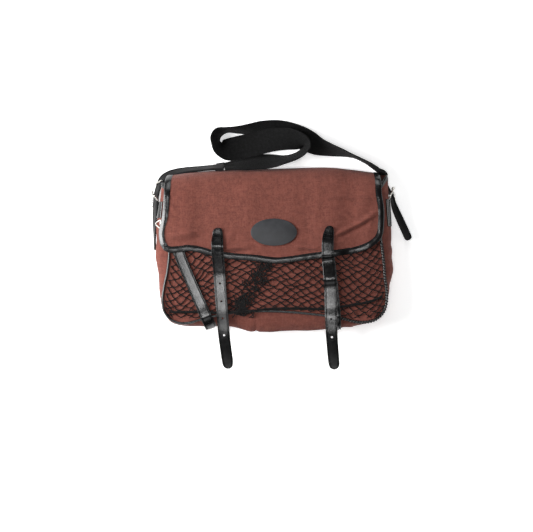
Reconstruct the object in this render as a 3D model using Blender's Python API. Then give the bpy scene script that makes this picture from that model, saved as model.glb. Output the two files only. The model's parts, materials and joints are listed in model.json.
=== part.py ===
"""A hunting game bag lying on its back: canvas satchel, net front, leather trim, slack shoulder strap.

Sizes are millimetres until a mesh is made. +X is the bag's right as seen, +Y its top, +Z up from the
surface that it lies on. The origin is the middle of the flat back, on that surface.
"""

import math

import bmesh
import bpy
from mathutils import Matrix, Vector

MM = 0.001
GAP = 0.3
HINGE_GAP = 0.6
HINGE_LIFT = 0.1

# Cloth, leather, cord and wire
CANVAS = 1.6
TRIM = 1.0
TRIM_GAP = 0.5
TRIM_WIDTH = 9.0
RIM_TRIM_WIDTH = 7.0
RIM_TRIM_START = 0.35
RIM_TRIM_ROWS = (1, 2, 3)
PIPING_RADIUS = 2.0
PIPING_GAP = 0.5
NET = 1.5
NET_BAR = 2.0
STRAP = 2.4
STRAP_WIDTH = 20.0
STRAP_HOLE = 2.1
TAB = 2.0
PATCH = 2.0
STRAP_END = 2.8
STRAP_END_WIDTH = 20.0
WEBBING = 1.8
WEBBING_WIDTH = 40.0
BUCKLE_WIRE = 1.3
PRONG_WIRE = 0.9
RING_WIRE = 1.1

# The front panel: the height of its seam over the surface, and its crown above the seam
SEAM_HEIGHT = 40.0
PANEL_CROWN = 8.0
PANEL_HALF_WIDTH = 190.0
PANEL_MIDDLE_Y = -8.0
PANEL_HALF_HEIGHT = 112.0

# How far the gusset's open end and the back reach past the front panel's top edge
RIM_LIFT_LEFT = 15.0
RIM_LIFT_RIGHT = 26.0
BACK_LIFT_LEFT = 25.0
BACK_LIFT_RIGHT = 29.0
LIFT_START_Y = 20.0

SIDE_STEPS = 10
BOTTOM_STEPS = 18

# The front seam, from the mouth's left end round the bottom to its right end
# Columns: x, y, bulge, tuck
SEAM = (
    (-172.0, 98.0, 17.0, 9.0),
    (-174.0, 62.0, 20.0, 9.0),
    (-174.5, 34.0, 24.0, 9.0),
    (-174.7, -7.0, 24.8, 9.0),
    (-177.7, -36.0, 19.0, 9.0),
    (-182.5, -59.0, 12.0, 9.0),
    (-186.0, -83.0, 5.5, 9.0),
    (-184.5, -98.0, 4.0, 9.0),
    (-180.0, -108.0, 4.0, 9.0),
    (-171.0, -117.0, 5.0, 9.0),
    (-157.0, -121.7, 5.5, 9.0),
    (-142.0, -120.8, 8.0, 9.0),
    (-118.0, -114.0, 16.0, 9.0),
    (-76.0, -105.0, 25.5, 9.0),
    (-46.0, -102.0, 34.5, 9.0),
    (-12.0, -101.5, 37.5, 9.0),
    (28.0, -103.0, 34.0, 9.0),
    (83.0, -108.5, 26.5, 9.0),
    (117.0, -114.0, 18.5, 9.0),
    (134.0, -118.5, 11.0, 9.0),
    (150.0, -120.5, 5.5, 9.0),
    (170.0, -116.5, 3.5, 9.0),
    (183.5, -104.5, 2.5, 9.0),
    (189.0, -87.0, 2.5, 9.0),
    (188.7, -68.0, 7.5, 9.0),
    (186.0, -46.0, 14.0, 9.0),
    (184.0, -20.0, 18.0, 9.0),
    (179.6, 17.0, 20.0, 9.0),
    (176.5, 52.0, 20.0, 11.0),
    (174.5, 76.0, 20.0, 14.0),
    (172.0, 98.0, 20.0, 15.0),
)
LEFT_CORNER_ROW = 8
RIGHT_CORNER_ROW = 22

# The gusset from the front seam down to the back seam, as shares of height, bulge and tuck
# Columns: height, bulge, tuck
GUSSET = (
    (1.00, 0.00, 0.00),
    (0.88, 0.62, 0.00),
    (0.72, 0.92, 0.00),
    (0.58, 1.00, 0.00),
    (0.28, 1.00, 0.52),
    (0.00, 1.00, 1.00),
)

# The back's top edge and the furthest reach of the flap's fold over it
# Columns: x, back, fold
TOP = (
    (-182.0, 123.0, 124.6),
    (-150.0, 125.5, 129.0),
    (-110.0, 127.5, 132.8),
    (-60.0, 128.0, 136.2),
    (0.0, 128.0, 137.2),
    (88.0, 128.0, 139.6),
    (130.0, 128.0, 136.0),
    (172.0, 127.0, 130.6),
    (180.0, 127.0, 129.0),
)

# The flap from its hinge to its turn, as shares of the fold's reach and of the rise
# Columns: forward, reach, rise
FOLD = (
    (0.0, 0.00, 0.000),
    (-0.2, 0.45, 0.015),
    (0.0, 0.85, 0.085),
    (0.0, 1.00, 0.215),
    (0.2, 0.95, 0.390),
    (2.6, 0.80, 0.590),
    (8.4, 0.50, 0.780),
    (18.0, 0.20, 0.920),
)
TURN_Y = 95.0
HINGE_HALF_WIDTH = 174.0
BINDING_FIRST_ROW = 3

# The flap's front: its sides from the turn down to the rounded corners, then its lower edge
# Columns: x, y
FLAP_LEFT = (
    (-183.8, 95.0),
    (-185.8, 67.0),
    (-188.4, 50.0),
    (-191.6, 37.0),
    (-192.4, 23.0),
    (-189.0, 8.0),
    (-184.0, 0.5),
)
FLAP_HEM = (
    (-184.0, 0.5),
    (-174.0, -3.2),
    (-156.0, -2.0),
    (-143.0, -0.5),
    (-124.0, -3.5),
    (-104.0, -9.0),
    (-76.0, -13.5),
    (-30.0, -17.5),
    (2.0, -21.5),
    (28.0, -19.5),
    (60.0, -14.8),
    (107.0, -8.5),
    (139.0, -3.5),
    (160.0, 4.0),
    (172.5, 12.0),
)
FLAP_RIGHT = (
    (181.0, 95.0),
    (184.8, 72.0),
    (185.2, 54.0),
    (183.4, 30.0),
    (179.0, 19.0),
    (172.5, 12.0),
)
FLAP_SIDE_STEPS = 9
FLAP_ACROSS_STEPS = 18

# Creases of the flap: middle, direction in degrees, half length, half width and height
# Columns: x, y, angle, length, width, height
CREASES = (
    (134.0, 40.0, 27.0, 34.0, 5.0, 2.6),
    (150.0, 52.0, 38.0, 26.0, 9.0, 1.8),
    (57.0, 3.0, -8.0, 26.0, 5.0, 1.6),
    (-62.0, -2.0, 6.0, 26.0, 5.0, 1.6),
    (-156.0, 18.0, 14.0, 24.0, 8.0, 1.6),
    (0.0, 88.0, 1.0, 165.0, 7.0, 1.0),
)

# Height of the flap's middle over the front panel, and where hidden buckles or piping raise it
FLAP_LIFT = 4.6
FLAP_EXTRA_LIFT = 2.9
LIFT_WIDTH = 26.0
LIFT_SIDE_START = 135.0
LIFT_SIDE_END = 160.0
DROOP_START = 182.0
DROOP_WIDTH = 12.0
DROOP = 3.0

# The net in the panel's own shares across and down, and its rows of meshes
NET_LEFT = 0.022
NET_RIGHT = 0.978
NET_TOP = 0.36
NET_BOTTOM = 0.972
NET_ACROSS = 18
NET_DOWN = 10

PATCH_X = 0.3
PATCH_Y = 30.0
PATCH_HALF_WIDTH = 39.0
PATCH_HALF_HEIGHT = 23.0
PATCH_SIDES = 32
PATCH_GAP = 0.4

# Closing straps: the middle line, the underside's clearance over what lies below it, and the width
# Columns: x, y, over, width
FLAP_STRAP_LEFT = (
    (-94.2, 37.5, "flap", 7.0),
    (-94.2, 33.5, "flap", 15.0),
    (-94.4, 24.0, "flap", 18.0),
    (-94.9, 8.0, "flap", 20.4),
    (-94.6, -2.0, "hem", 20.4),
    (-93.4, -15.0, "hem", 20.4),
    (-92.4, -27.0, "step", 20.2),
    (-91.4, -42.0, "net", 20.0),
    (-90.0, -62.0, "net", 20.4),
    (-88.2, -85.0, "net", 20.2),
    (-86.9, -102.0, "piping", 20.0),
    (-85.4, -122.0, "free", 20.0),
    (-83.6, -144.0, "free", 19.6),
    (-80.6, -168.0, "free", 19.4),
    (-77.6, -190.0, "free", 18.6),
    (-76.4, -197.5, "free", 14.0),
    (-76.0, -200.6, "free", 7.0),
)
FLAP_STRAP_RIGHT = (
    (95.6, 40.6, "flap", 7.0),
    (94.6, 36.0, "flap", 14.0),
    (92.4, 25.0, "flap", 18.4),
    (91.0, 8.0, "flap", 20.0),
    (91.0, -6.0, "hem", 20.2),
    (92.0, -19.0, "hem", 20.4),
    (93.4, -32.0, "step", 21.0),
    (95.0, -52.0, "lower", 21.6),
    (96.6, -79.0, "lower", 21.6),
    (96.7, -98.0, "lower", 21.2),
    (96.9, -112.0, "crossing", 20.8),
    (97.4, -126.0, "free", 20.4),
    (98.2, -145.0, "free", 20.0),
    (100.2, -172.0, "free", 19.4),
    (102.2, -192.0, "free", 18.4),
    (102.8, -199.0, "free", 13.6),
    (103.0, -201.8, "free", 7.0),
)
LEFT_HOLES_Y = (-57.0, -86.0, -114.6, -143.6)
RIGHT_HOLES_Y = (-87.0, -116.0, -146.4)
STEP_RISE = 4.6
STRAP_EDGE_Y = -100.0
PIPING_RISE = 5.4
CROSSING_RISE = 3.3
STRAP_DROOP_START = -118.0
STRAP_TIP_Y = -201.0
STRAP_DROOP = 15.0

# Lower straps, from the sewn end at the bottom up to the hidden buckle
# Columns: x, y, lift, width
LOWER_STRAP_LEFT = (
    (-104.4, -135.0, -17.5, 19.0),
    (-105.4, -132.4, -9.0, 19.4),
    (-107.4, -127.5, -0.5, 19.6),
    (-110.6, -120.0, 5.2, 19.6),
    (-116.0, -108.0, 5.6, 19.6),
    (-122.0, -94.0, 3.6, 19.4),
    (-130.0, -76.0, 3.4, 19.2),
    (-142.0, -48.0, 3.4, 19.0),
    (-152.0, -25.0, 3.3, 19.0),
    (-159.0, -6.0, 3.3, 19.0),
    (-160.0, 6.0, 3.9, 19.0),
)
LOWER_STRAP_RIGHT = (
    (105.0, -138.0, -17.5, 19.4),
    (104.8, -135.4, -9.0, 19.4),
    (104.5, -130.0, -1.0, 19.4),
    (104.0, -122.0, 5.0, 19.4),
    (103.2, -108.0, 5.4, 19.4),
    (102.2, -94.0, 3.6, 19.4),
    (100.6, -76.0, 3.4, 19.2),
    (97.6, -48.0, 3.4, 19.0),
    (94.4, -20.0, 3.4, 19.0),
    (92.4, -4.0, 3.2, 19.0),
    (92.0, 6.0, 3.6, 19.0),
)
LOWER_BUCKLE_HALF_WIDTH = 11.6
LOWER_BUCKLE_HALF_LENGTH = 8.0

# The shoulder strap, left tail to right tail: tilt in degrees from lying flat, lift from resting
# Columns: x, y, tilt, lift
END_LEFT = (
    (-201.7, 0.0, 90.0, 5.0),
    (-201.7, 10.0, 90.0, 5.5),
    (-202.4, 28.0, 90.0, 6.0),
    (-203.6, 45.0, 90.0, 6.0),
    (-202.6, 66.0, 88.0, 7.5),
    (-201.2, 91.0, 86.0, 7.5),
    (-197.4, 108.0, 84.0, 7.0),
    (-194.2, 118.0, 81.0, 6.0),
    (-187.6, 126.4, 78.0, 4.0),
    (-176.0, 133.2, 74.0, 2.2),
    (-160.0, 137.4, 70.0, 1.2),
    (-140.0, 139.4, 69.0, 1.0),
    (-112.0, 140.6, 66.0, 3.0),
    (-84.0, 142.4, 60.0, 7.0),
)
WEBBING_PATH = (
    (-84.0, 142.4, 60.0, 0.0),
    (-62.0, 144.4, 60.0, 0.0),
    (-36.0, 146.0, 62.0, 0.0),
    (-8.0, 148.8, 64.0, 0.0),
    (18.0, 153.2, 67.0, 0.0),
    (36.0, 158.6, 70.0, 0.5),
    (49.0, 166.6, 73.0, 3.0),
    (55.0, 176.4, 72.0, 6.0),
    (50.0, 183.0, 58.0, 9.0),
    (38.0, 186.4, 40.0, 12.0),
    (22.0, 188.2, 26.0, 14.0),
    (0.0, 187.2, 14.0, 14.0),
    (-22.0, 182.6, 6.0, 13.5),
    (-44.0, 177.4, 2.0, 13.0),
    (-64.0, 172.8, -4.0, 12.0),
    (-80.0, 170.6, -24.0, 7.0),
    (-91.0, 173.2, -52.0, 2.0),
    (-97.4, 181.4, -68.0, 0.0),
    (-98.6, 191.4, -68.0, 0.0),
    (-92.6, 200.0, -70.0, 0.0),
    (-79.0, 203.8, -80.0, 0.0),
    (-61.0, 204.0, -76.0, 0.0),
    (-43.0, 205.0, -67.0, 0.0),
    (-19.0, 206.8, -55.0, 0.0),
    (6.0, 204.4, -38.0, 0.0),
    (29.0, 198.4, -27.0, 0.0),
    (48.0, 190.8, -22.0, 0.0),
    (64.0, 182.8, -30.0, 0.0),
    (79.0, 175.6, -47.0, 0.0),
    (96.0, 170.4, -61.0, 0.0),
    (115.0, 165.2, -74.0, 0.0),
    (137.0, 158.4, -86.0, 0.0),
    (155.0, 150.0, -86.0, 0.0),
    (169.0, 141.2, -80.0, 0.0),
    (178.4, 134.6, -78.0, 0.0),
)
END_RIGHT = (
    (178.4, 134.6, -78.0, 3.0),
    (185.4, 130.2, -68.0, 0.8),
    (188.4, 122.6, -60.0, 0.0),
    (188.6, 113.6, -60.0, 0.0),
    (190.4, 107.6, -62.0, 0.6),
    (194.6, 102.0, -70.0, 2.0),
    (199.4, 95.4, -80.0, 3.9),
    (202.3, 86.0, -76.0, 3.0),
    (206.2, 72.0, -64.0, 1.5),
    (214.4, 53.0, -58.0, 0.4),
    (223.6, 33.0, -57.0, 0.0),
    (230.6, 17.2, -57.0, 0.0),
)
WEBBING_STEPS = 72
END_LEFT_STEPS = 26
END_RIGHT_STEPS = 18
TIP_LENGTH = 8.0
TIP_SHARE = 0.45

# Tabs on the gusset, as lengths along the bag, and places down the gusset's profile in its rows
# Columns: side, top_y, low_y
TABS = {
    "side_tab_left": (-1, 82.0, 54.0),
    "side_tab_right": (1, 86.0, 40.0),
}
TAB_PROFILE = (1.3, 2.0, 3.0, 3.5)
TAB_GAP = 0.5
TAB_ROWS = 5
TAB_SLOPE_SPAN = 0.4

# Strap buckles: the bar that the tab holds, the outer bar, and the frame's middle height
# Columns: inner_x, inner_y, outer_x, outer_y, z, prong_x, prong_y
STRAP_BUCKLES = {
    "strap_buckle_left": (-195.6, 84.0, -207.2, 97.6, 17.6, -205.8, 72.0),
    "strap_buckle_right": (196.5, 88.0, 203.4, 104.4, 14.0, 207.6, 79.0),
}
BUCKLE_HALF_WIDTH = 12.2

# The keeper round the left strap end and the ring below the left tab: corners of their wires
KEEPER_CORNERS = (
    (-200.3, 112.6, 4.6),
    (-199.9, 112.6, 29.6),
    (-189.4, 117.6, 29.6),
    (-189.8, 117.6, 4.6),
)
RING_CORNERS = (
    (-199.9, 46.5, 25.0),
    (-192.0, 51.4, 37.2),
    (-193.1, 36.0, 37.2),
    (-200.9, 43.0, 25.0),
)

PALETTE = {
    "canvas": ((0.25, 0.085, 0.062), 0.85, 0.0),
    "leather": ((0.017, 0.017, 0.019), 0.35, 0.0),
    "patch": ((0.05, 0.052, 0.06), 0.5, 0.0),
    "net": ((0.008, 0.008, 0.009), 0.7, 0.0),
    "webbing": ((0.007, 0.007, 0.0075), 0.8, 0.0),
    "nickel": ((0.72, 0.71, 0.67), 0.25, 1.0),
}


def clear_scene():
    for thing in list(bpy.data.objects):
        bpy.data.objects.remove(thing, do_unlink=True)


def material(name):
    made = bpy.data.materials.get(name)
    if made:
        return made
    made = bpy.data.materials.new(name)
    made.use_nodes = True
    colour, roughness, metallic = PALETTE[name]
    shader = made.node_tree.nodes["Principled BSDF"]
    shader.inputs["Base Color"].default_value = (*colour, 1.0)
    shader.inputs["Roughness"].default_value = roughness
    shader.inputs["Metallic"].default_value = metallic
    return made


def make_object(name, points, faces, finish, smooth_angle=35.0):
    """One mesh object in world space, its points given in millimetres."""
    mesh = bpy.data.meshes.new(name)
    mesh.from_pydata([Vector(p) * MM for p in points], [], faces)
    mesh.validate()
    thing = bpy.data.objects.new(name, mesh)
    bpy.context.collection.objects.link(thing)
    mesh.materials.append(material(finish))
    mesh.shade_smooth()
    mesh.set_sharp_from_angle(angle=math.radians(smooth_angle))
    return thing


def catmull_rom(before, start, end, after, share):
    """A point between two rows of a table, on the smooth curve through all of them."""
    square = share * share
    cube = square * share
    row = []
    for a, b, c, d in zip(before, start, end, after):
        row.append(0.5 * (2.0 * b + (c - a) * share + (2.0 * a - 5.0 * b + 4.0 * c - d) * square
                          + (3.0 * b - a - 3.0 * c + d) * cube))
    return tuple(row)


def dense_curve(rows, steps=14):
    curve = []
    for index in range(len(rows) - 1):
        before = rows[max(index - 1, 0)]
        after = rows[min(index + 2, len(rows) - 1)]
        for step in range(steps):
            curve.append(catmull_rom(before, rows[index], rows[index + 1], after, step / steps))
    curve.append(tuple(rows[-1]))
    return curve


def distances(curve, axes=2):
    total = [0.0]
    for start, end in zip(curve, curve[1:]):
        total.append(total[-1] + math.dist(start[:axes], end[:axes]))
    return total


def row_at(curve, lengths, distance):
    """The row at a distance along a dense curve."""
    low = 0
    high = len(curve) - 1
    while high - low > 1:
        middle = (low + high) // 2
        if lengths[middle] <= distance:
            low = middle
        else:
            high = middle
    span = lengths[high] - lengths[low]
    share = (distance - lengths[low]) / span if span else 0.0
    return tuple(a + (b - a) * share for a, b in zip(curve[low], curve[high]))


def even_rows(curve, steps, axes=2):
    lengths = distances(curve, axes)
    return [row_at(curve, lengths, lengths[-1] * step / steps) for step in range(steps + 1)]


def table_value(table, column, x):
    """A column of a table read at x, on a smooth curve through its rows."""
    if x <= table[0][0]:
        return table[0][column]
    for index in range(len(table) - 1):
        start, end = table[index], table[index + 1]
        if x <= end[0]:
            before = table[max(index - 1, 0)]
            after = table[min(index + 2, len(table) - 1)]
            share = (x - start[0]) / (end[0] - start[0])
            return catmull_rom(before, start, end, after, share)[column]
    return table[-1][column]


def ease(value, low, high):
    share = min(max((value - low) / (high - low), 0.0), 1.0)
    return share * share * (3.0 - 2.0 * share)


def panel_height(x, y):
    """Height of the front panel's outer face."""
    across = max(0.0, 1.0 - (x / PANEL_HALF_WIDTH) ** 2)
    along = max(0.0, 1.0 - ((y - PANEL_MIDDLE_Y) / PANEL_HALF_HEIGHT) ** 2)
    return SEAM_HEIGHT + PANEL_CROWN * across * along


def crease_height(x, y):
    """How much the flap's creases raise it at a point."""
    height = 0.0
    for middle_x, middle_y, angle, length, width, rise in CREASES:
        turn = math.radians(angle)
        along = (x - middle_x) * math.cos(turn) + (y - middle_y) * math.sin(turn)
        across = (y - middle_y) * math.cos(turn) - (x - middle_x) * math.sin(turn)
        height += rise * math.exp(-(along / length) ** 4 - (across / width) ** 2)
    return height


def flap_height(x, y):
    """Height of the middle of the flap's cloth over the front."""
    over_left = math.exp(-((x - LOWER_STRAP_LEFT[-1][0]) / LIFT_WIDTH) ** 4)
    over_right = math.exp(-((x - LOWER_STRAP_RIGHT[-1][0]) / LIFT_WIDTH) ** 4)
    over_sides = ease(abs(x), LIFT_SIDE_START, LIFT_SIDE_END)
    extra = FLAP_EXTRA_LIFT * max(over_left, over_right, over_sides)
    droop = DROOP * max(0.0, (abs(x) - DROOP_START) / DROOP_WIDTH) ** 2
    return panel_height(x, y) + FLAP_LIFT + extra + crease_height(x, y) - droop


def seam_parts():
    """The front seam's left side, bottom and right side, as evenly spaced rows."""
    left = dense_curve(SEAM)
    steps = (len(left) - 1) // (len(SEAM) - 1)
    first = LEFT_CORNER_ROW * steps
    second = RIGHT_CORNER_ROW * steps
    return left[:first + 1], left[first:second + 1], left[second:]


def seam_stations():
    left, bottom, right = seam_parts()
    stations = even_rows(left, SIDE_STEPS)
    stations += even_rows(bottom, BOTTOM_STEPS)[1:]
    stations += even_rows(right, SIDE_STEPS)[1:]
    return stations


def outward_at(stations, index):
    """The seam's outward direction in plan: the right hand of its run."""
    before = stations[max(index - 1, 0)]
    after = stations[min(index + 1, len(stations) - 1)]
    run = Vector((after[0] - before[0], after[1] - before[1]))
    run.normalize()
    return Vector((run.y, -run.x))


def gusset_row(stations, index):
    """The gusset's profile at one station, from the front seam to the back seam."""
    x, y, bulge, tuck = stations[index]
    out = outward_at(stations, index)
    left_side = x < 0.0
    share = max(0.0, (y - LIFT_START_Y) / (SEAM[0][1] - LIFT_START_Y))
    rim_lift = (RIM_LIFT_LEFT if left_side else RIM_LIFT_RIGHT) * share
    back_lift = (BACK_LIFT_LEFT if left_side else BACK_LIFT_RIGHT) * share
    row = []
    for height, bulge_share, tuck_share in GUSSET:
        reach = bulge * bulge_share - tuck * tuck_share
        lift = rim_lift * bulge_share + (back_lift - rim_lift) * tuck_share
        row.append(Vector((x + out.x * reach, y + out.y * reach + lift, panel_height(x, y) * height)))
    return row


def coons_point(left, right, top, bottom, u, v):
    """A point inside four border curves, each a function of its share."""
    a, b, c, d = left(v), right(v), top(u), bottom(u)
    corner = [left(0.0), right(0.0), left(1.0), right(1.0)]
    mix = []
    for k in range(2):
        ruled = (1.0 - u) * a[k] + u * b[k] + (1.0 - v) * c[k] + v * d[k]
        ends = ((1.0 - u) * (1.0 - v) * corner[0][k] + u * (1.0 - v) * corner[1][k]
                + (1.0 - u) * v * corner[2][k] + u * v * corner[3][k])
        mix.append(ruled - ends)
    return mix[0], mix[1]


def curve_reader(curve):
    lengths = distances(curve)

    def read(share):
        return row_at(curve, lengths, lengths[-1] * share)[:2]

    return read


def front_panel_reader():
    """The front panel's plan as a function of shares across and down."""
    left, bottom, right = seam_parts()
    left_read = curve_reader(left)
    right_read = curve_reader(right[::-1])
    bottom_read = curve_reader(bottom)
    start, end = left[0], right[-1]

    def top_read(share):
        return start[0] + (end[0] - start[0]) * share, start[1]

    def read(u, v):
        return coons_point(left_read, right_read, top_read, bottom_read, u, v)

    return read


def grid_faces(rows, columns, offset=0):
    faces = []
    for i in range(rows - 1):
        for j in range(columns - 1):
            a = offset + i * columns + j
            faces.append((a, a + columns, a + columns + 1, a + 1))
    return faces


def add_wall(thing, thickness, side):
    """Cloth of even thickness: side -1 keeps the drawn face outside, 0 keeps it in the middle."""
    wall = thing.modifiers.new("wall", "SOLIDIFY")
    wall.thickness = thickness * MM
    wall.offset = side
    wall.use_even_offset = True


def weld(thing, distance=0.0001):
    bm = bmesh.new()
    bm.from_mesh(thing.data)
    bmesh.ops.remove_doubles(bm, verts=bm.verts, dist=distance)
    bmesh.ops.recalc_face_normals(bm, faces=bm.faces)
    bm.to_mesh(thing.data)
    bm.free()


def make_body():
    """The hollow canvas shell: front panel, gusset and flat back, open at the mouth."""
    stations = seam_stations()
    gusset = [gusset_row(stations, index) for index in range(len(stations))]
    panel = front_panel_reader()
    columns = BOTTOM_STEPS + 1
    points = []
    for i in range(SIDE_STEPS + 1):
        for j in range(columns):
            x, y = panel(j / BOTTOM_STEPS, i / SIDE_STEPS)
            points.append((x, y, panel_height(x, y)))
    faces = grid_faces(SIDE_STEPS + 1, columns)

    back_rows = [row[-1] for row in gusset]
    left = back_rows[:SIDE_STEPS + 1]
    bottom = back_rows[SIDE_STEPS:SIDE_STEPS + BOTTOM_STEPS + 1]
    right = back_rows[SIDE_STEPS + BOTTOM_STEPS:][::-1]
    offset = len(points)
    for i in range(SIDE_STEPS + 1):
        for j in range(columns):
            u, v = j / BOTTOM_STEPS, i / SIDE_STEPS
            x_top = left[0].x + (right[0].x - left[0].x) * u
            top_y = table_value(TOP, 1, x_top)
            corners = [left[0], right[0], left[-1], right[-1]]
            x = ((1 - u) * left[i].x + u * right[i].x + (1 - v) * x_top + v * bottom[j].x
                 - (1 - u) * (1 - v) * corners[0].x - u * (1 - v) * corners[1].x
                 - (1 - u) * v * corners[2].x - u * v * corners[3].x)
            y = ((1 - u) * left[i].y + u * right[i].y + (1 - v) * top_y + v * bottom[j].y
                 - (1 - u) * (1 - v) * corners[0].y - u * (1 - v) * corners[1].y
                 - (1 - u) * v * corners[2].y - u * v * corners[3].y)
            points.append((x, y, 0.0))
    faces += [face[::-1] for face in grid_faces(SIDE_STEPS + 1, columns, offset)]

    offset = len(points)
    for row in gusset:
        points += [tuple(p) for p in row]
    faces += grid_faces(len(gusset), len(GUSSET), offset)

    body = make_object("bag_body", points, faces, "canvas")
    weld(body)
    bm = bmesh.new()
    bm.from_mesh(body.data)
    bm.faces.ensure_lookup_table()
    lowest = min(bm.faces, key=lambda face: face.calc_center_median().z)
    if lowest.normal.z > 0.0:
        bmesh.ops.reverse_faces(bm, faces=bm.faces)
    bm.to_mesh(body.data)
    bm.free()
    add_wall(body, CANVAS, -1.0)
    return stations, gusset


def flap_grid():
    """The middle of the flap's cloth, row by row from the hinge to the lower edge."""
    rows = []
    columns = FLAP_ACROSS_STEPS + 1
    for forward, reach, rise in FOLD:
        share = rise ** 0.7
        left = -HINGE_HALF_WIDTH + (FLAP_LEFT[0][0] + HINGE_HALF_WIDTH) * share
        right = HINGE_HALF_WIDTH + (FLAP_RIGHT[0][0] - HINGE_HALF_WIDTH) * share
        row = []
        for j in range(columns):
            x = left + (right - left) * j / FLAP_ACROSS_STEPS
            back = table_value(TOP, 1, x) + HINGE_GAP
            y = back + reach * (table_value(TOP, 2, x) - back) - forward
            base = CANVAS / 2 + HINGE_LIFT
            row.append((x, y, base + rise * (flap_height(x, TURN_Y) - base)))
        rows.append(row)
    left_read = curve_reader(dense_curve(FLAP_LEFT))
    right_read = curve_reader(dense_curve(FLAP_RIGHT))
    hem_read = curve_reader(dense_curve(FLAP_HEM))
    start, end = FLAP_LEFT[0], FLAP_RIGHT[0]

    def turn_read(share):
        return start[0] + (end[0] - start[0]) * share, TURN_Y

    for i in range(FLAP_SIDE_STEPS + 1):
        row = []
        for j in range(columns):
            x, y = coons_point(left_read, right_read, turn_read, hem_read,
                               j / FLAP_ACROSS_STEPS, i / FLAP_SIDE_STEPS)
            row.append((x, y, flap_height(x, y)))
        rows.append(row)
    return rows


def flap_faces(rows):
    """The flap's cells, the two at the lower corners split from the corner inwards."""
    columns = len(rows[0])
    left = (len(rows) - 2) * columns
    right = left + columns - 2
    faces = [face for face in grid_faces(len(rows), columns) if face[0] not in (left, right)]
    faces.append((left, left + columns, left + 1))
    faces.append((left + columns, left + columns + 1, left + 1))
    faces.append((right, right + columns, right + columns + 1))
    faces.append((right, right + columns + 1, right + 1))
    return faces


def make_flap():
    rows = flap_grid()
    points = [p for row in rows for p in row]
    flap = make_object("flap", points, flap_faces(rows), "canvas")
    add_wall(flap, CANVAS, 0.0)
    return rows


def channel_section(edge, inward, up_edge, up_inner, half, trim):
    """A U section round a cloth's edge, its inner side at the point inward of the edge."""
    near = half + TRIM_GAP
    far = near + trim
    out = (edge - inward).normalized()
    wall = edge + out * TRIM_GAP
    fold = edge + out * (TRIM_GAP + trim)
    outside = [inward + up_inner * far, fold + up_edge * far, fold - up_edge * far, inward - up_inner * far]
    inside = [inward - up_inner * near, wall - up_edge * near, wall + up_edge * near, inward + up_inner * near]
    return outside + inside


def sweep_sections(name, sections, finish):
    """A solid through a row of like sections, closed at both ends."""
    count = len(sections[0])
    points = [place for section in sections for place in section]
    faces = []
    for i in range(len(sections) - 1):
        for k in range(count):
            a = i * count + k
            b = i * count + (k + 1) % count
            faces.append((a, b, b + count, a + count))
    last = (len(sections) - 1) * count
    faces.append(tuple(range(count))[::-1])
    faces.append(tuple(last + k for k in range(count)))
    weld(make_object(name, points, faces, finish), 0.00001)


def cloth_offsets(rows, faces):
    """At each point of a cloth grid, how its faces move for one millimetre of thickness."""
    bm = bmesh.new()
    verts = [bm.verts.new(place) for row in rows for place in row]
    for face in faces:
        bm.faces.new([verts[index] for index in face])
    bm.normal_update()
    columns = len(rows[0])
    offsets = [vert.normal * vert.calc_shell_factor() for vert in verts]
    bm.free()
    return [offsets[i * columns:(i + 1) * columns] for i in range(len(rows))]


def make_flap_binding(rows):
    """Leather folded round the flap's left side, lower edge and right side."""
    offsets = cloth_offsets(rows, flap_faces(rows))
    last_row = len(rows) - 1
    last_column = len(rows[0]) - 1
    border = [(i, 0) for i in range(BINDING_FIRST_ROW, last_row + 1)]
    border += [(last_row, j) for j in range(1, last_column + 1)]
    border += [(i, last_column) for i in range(last_row - 1, BINDING_FIRST_ROW - 1, -1)]
    sections = []
    for i, j in border:
        inner_i = min(i, last_row - 1)
        inner_j = min(max(j, 1), last_column - 1)
        edge = Vector(rows[i][j])
        inside = Vector(rows[inner_i][inner_j])
        share = TRIM_WIDTH / (inside - edge).length
        up_inner = offsets[i][j].lerp(offsets[inner_i][inner_j], share)
        sections.append(channel_section(edge, edge.lerp(inside, share), offsets[i][j], up_inner,
                                        CANVAS / 2, TRIM))
    sweep_sections("flap_binding", sections, "leather")


def make_rim_bindings(gusset):
    """Leather folded round the upper part of the gusset's two open ends."""
    offsets = cloth_offsets(gusset, grid_faces(len(gusset), len(GUSSET)))
    for name, end, below in (("gusset_binding_left", 0, 1), ("gusset_binding_right", -1, -2)):
        sign = 1.0 if offsets[end][2].x * gusset[end][2].x > 0.0 else -1.0
        sections = []
        for k in RIM_TRIM_ROWS:
            start = RIM_TRIM_START if k == RIM_TRIM_ROWS[0] else 0.0
            edge = gusset[end][k].lerp(gusset[end][k + 1], start)
            inside = gusset[below][k].lerp(gusset[below][k + 1], start)
            up_edge = offsets[end][k].lerp(offsets[end][k + 1], start) * sign
            up_inside = offsets[below][k].lerp(offsets[below][k + 1], start) * sign
            share = RIM_TRIM_WIDTH / (inside - edge).length
            up_inner = up_edge.lerp(up_inside, share)
            middle_edge = edge - up_edge * CANVAS / 2
            middle_inner = edge.lerp(inside, share) - up_inner * CANVAS / 2
            sections.append(channel_section(middle_edge, middle_inner, up_edge, up_inner, CANVAS / 2, TRIM))
        sweep_sections(name, sections, "leather")


def loop_normal(path):
    """The direction square to a flat closed loop."""
    normal = Vector((0.0, 0.0, 0.0))
    for index, place in enumerate(path):
        normal += path[index - 1].cross(place)
    return normal.normalized()


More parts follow.
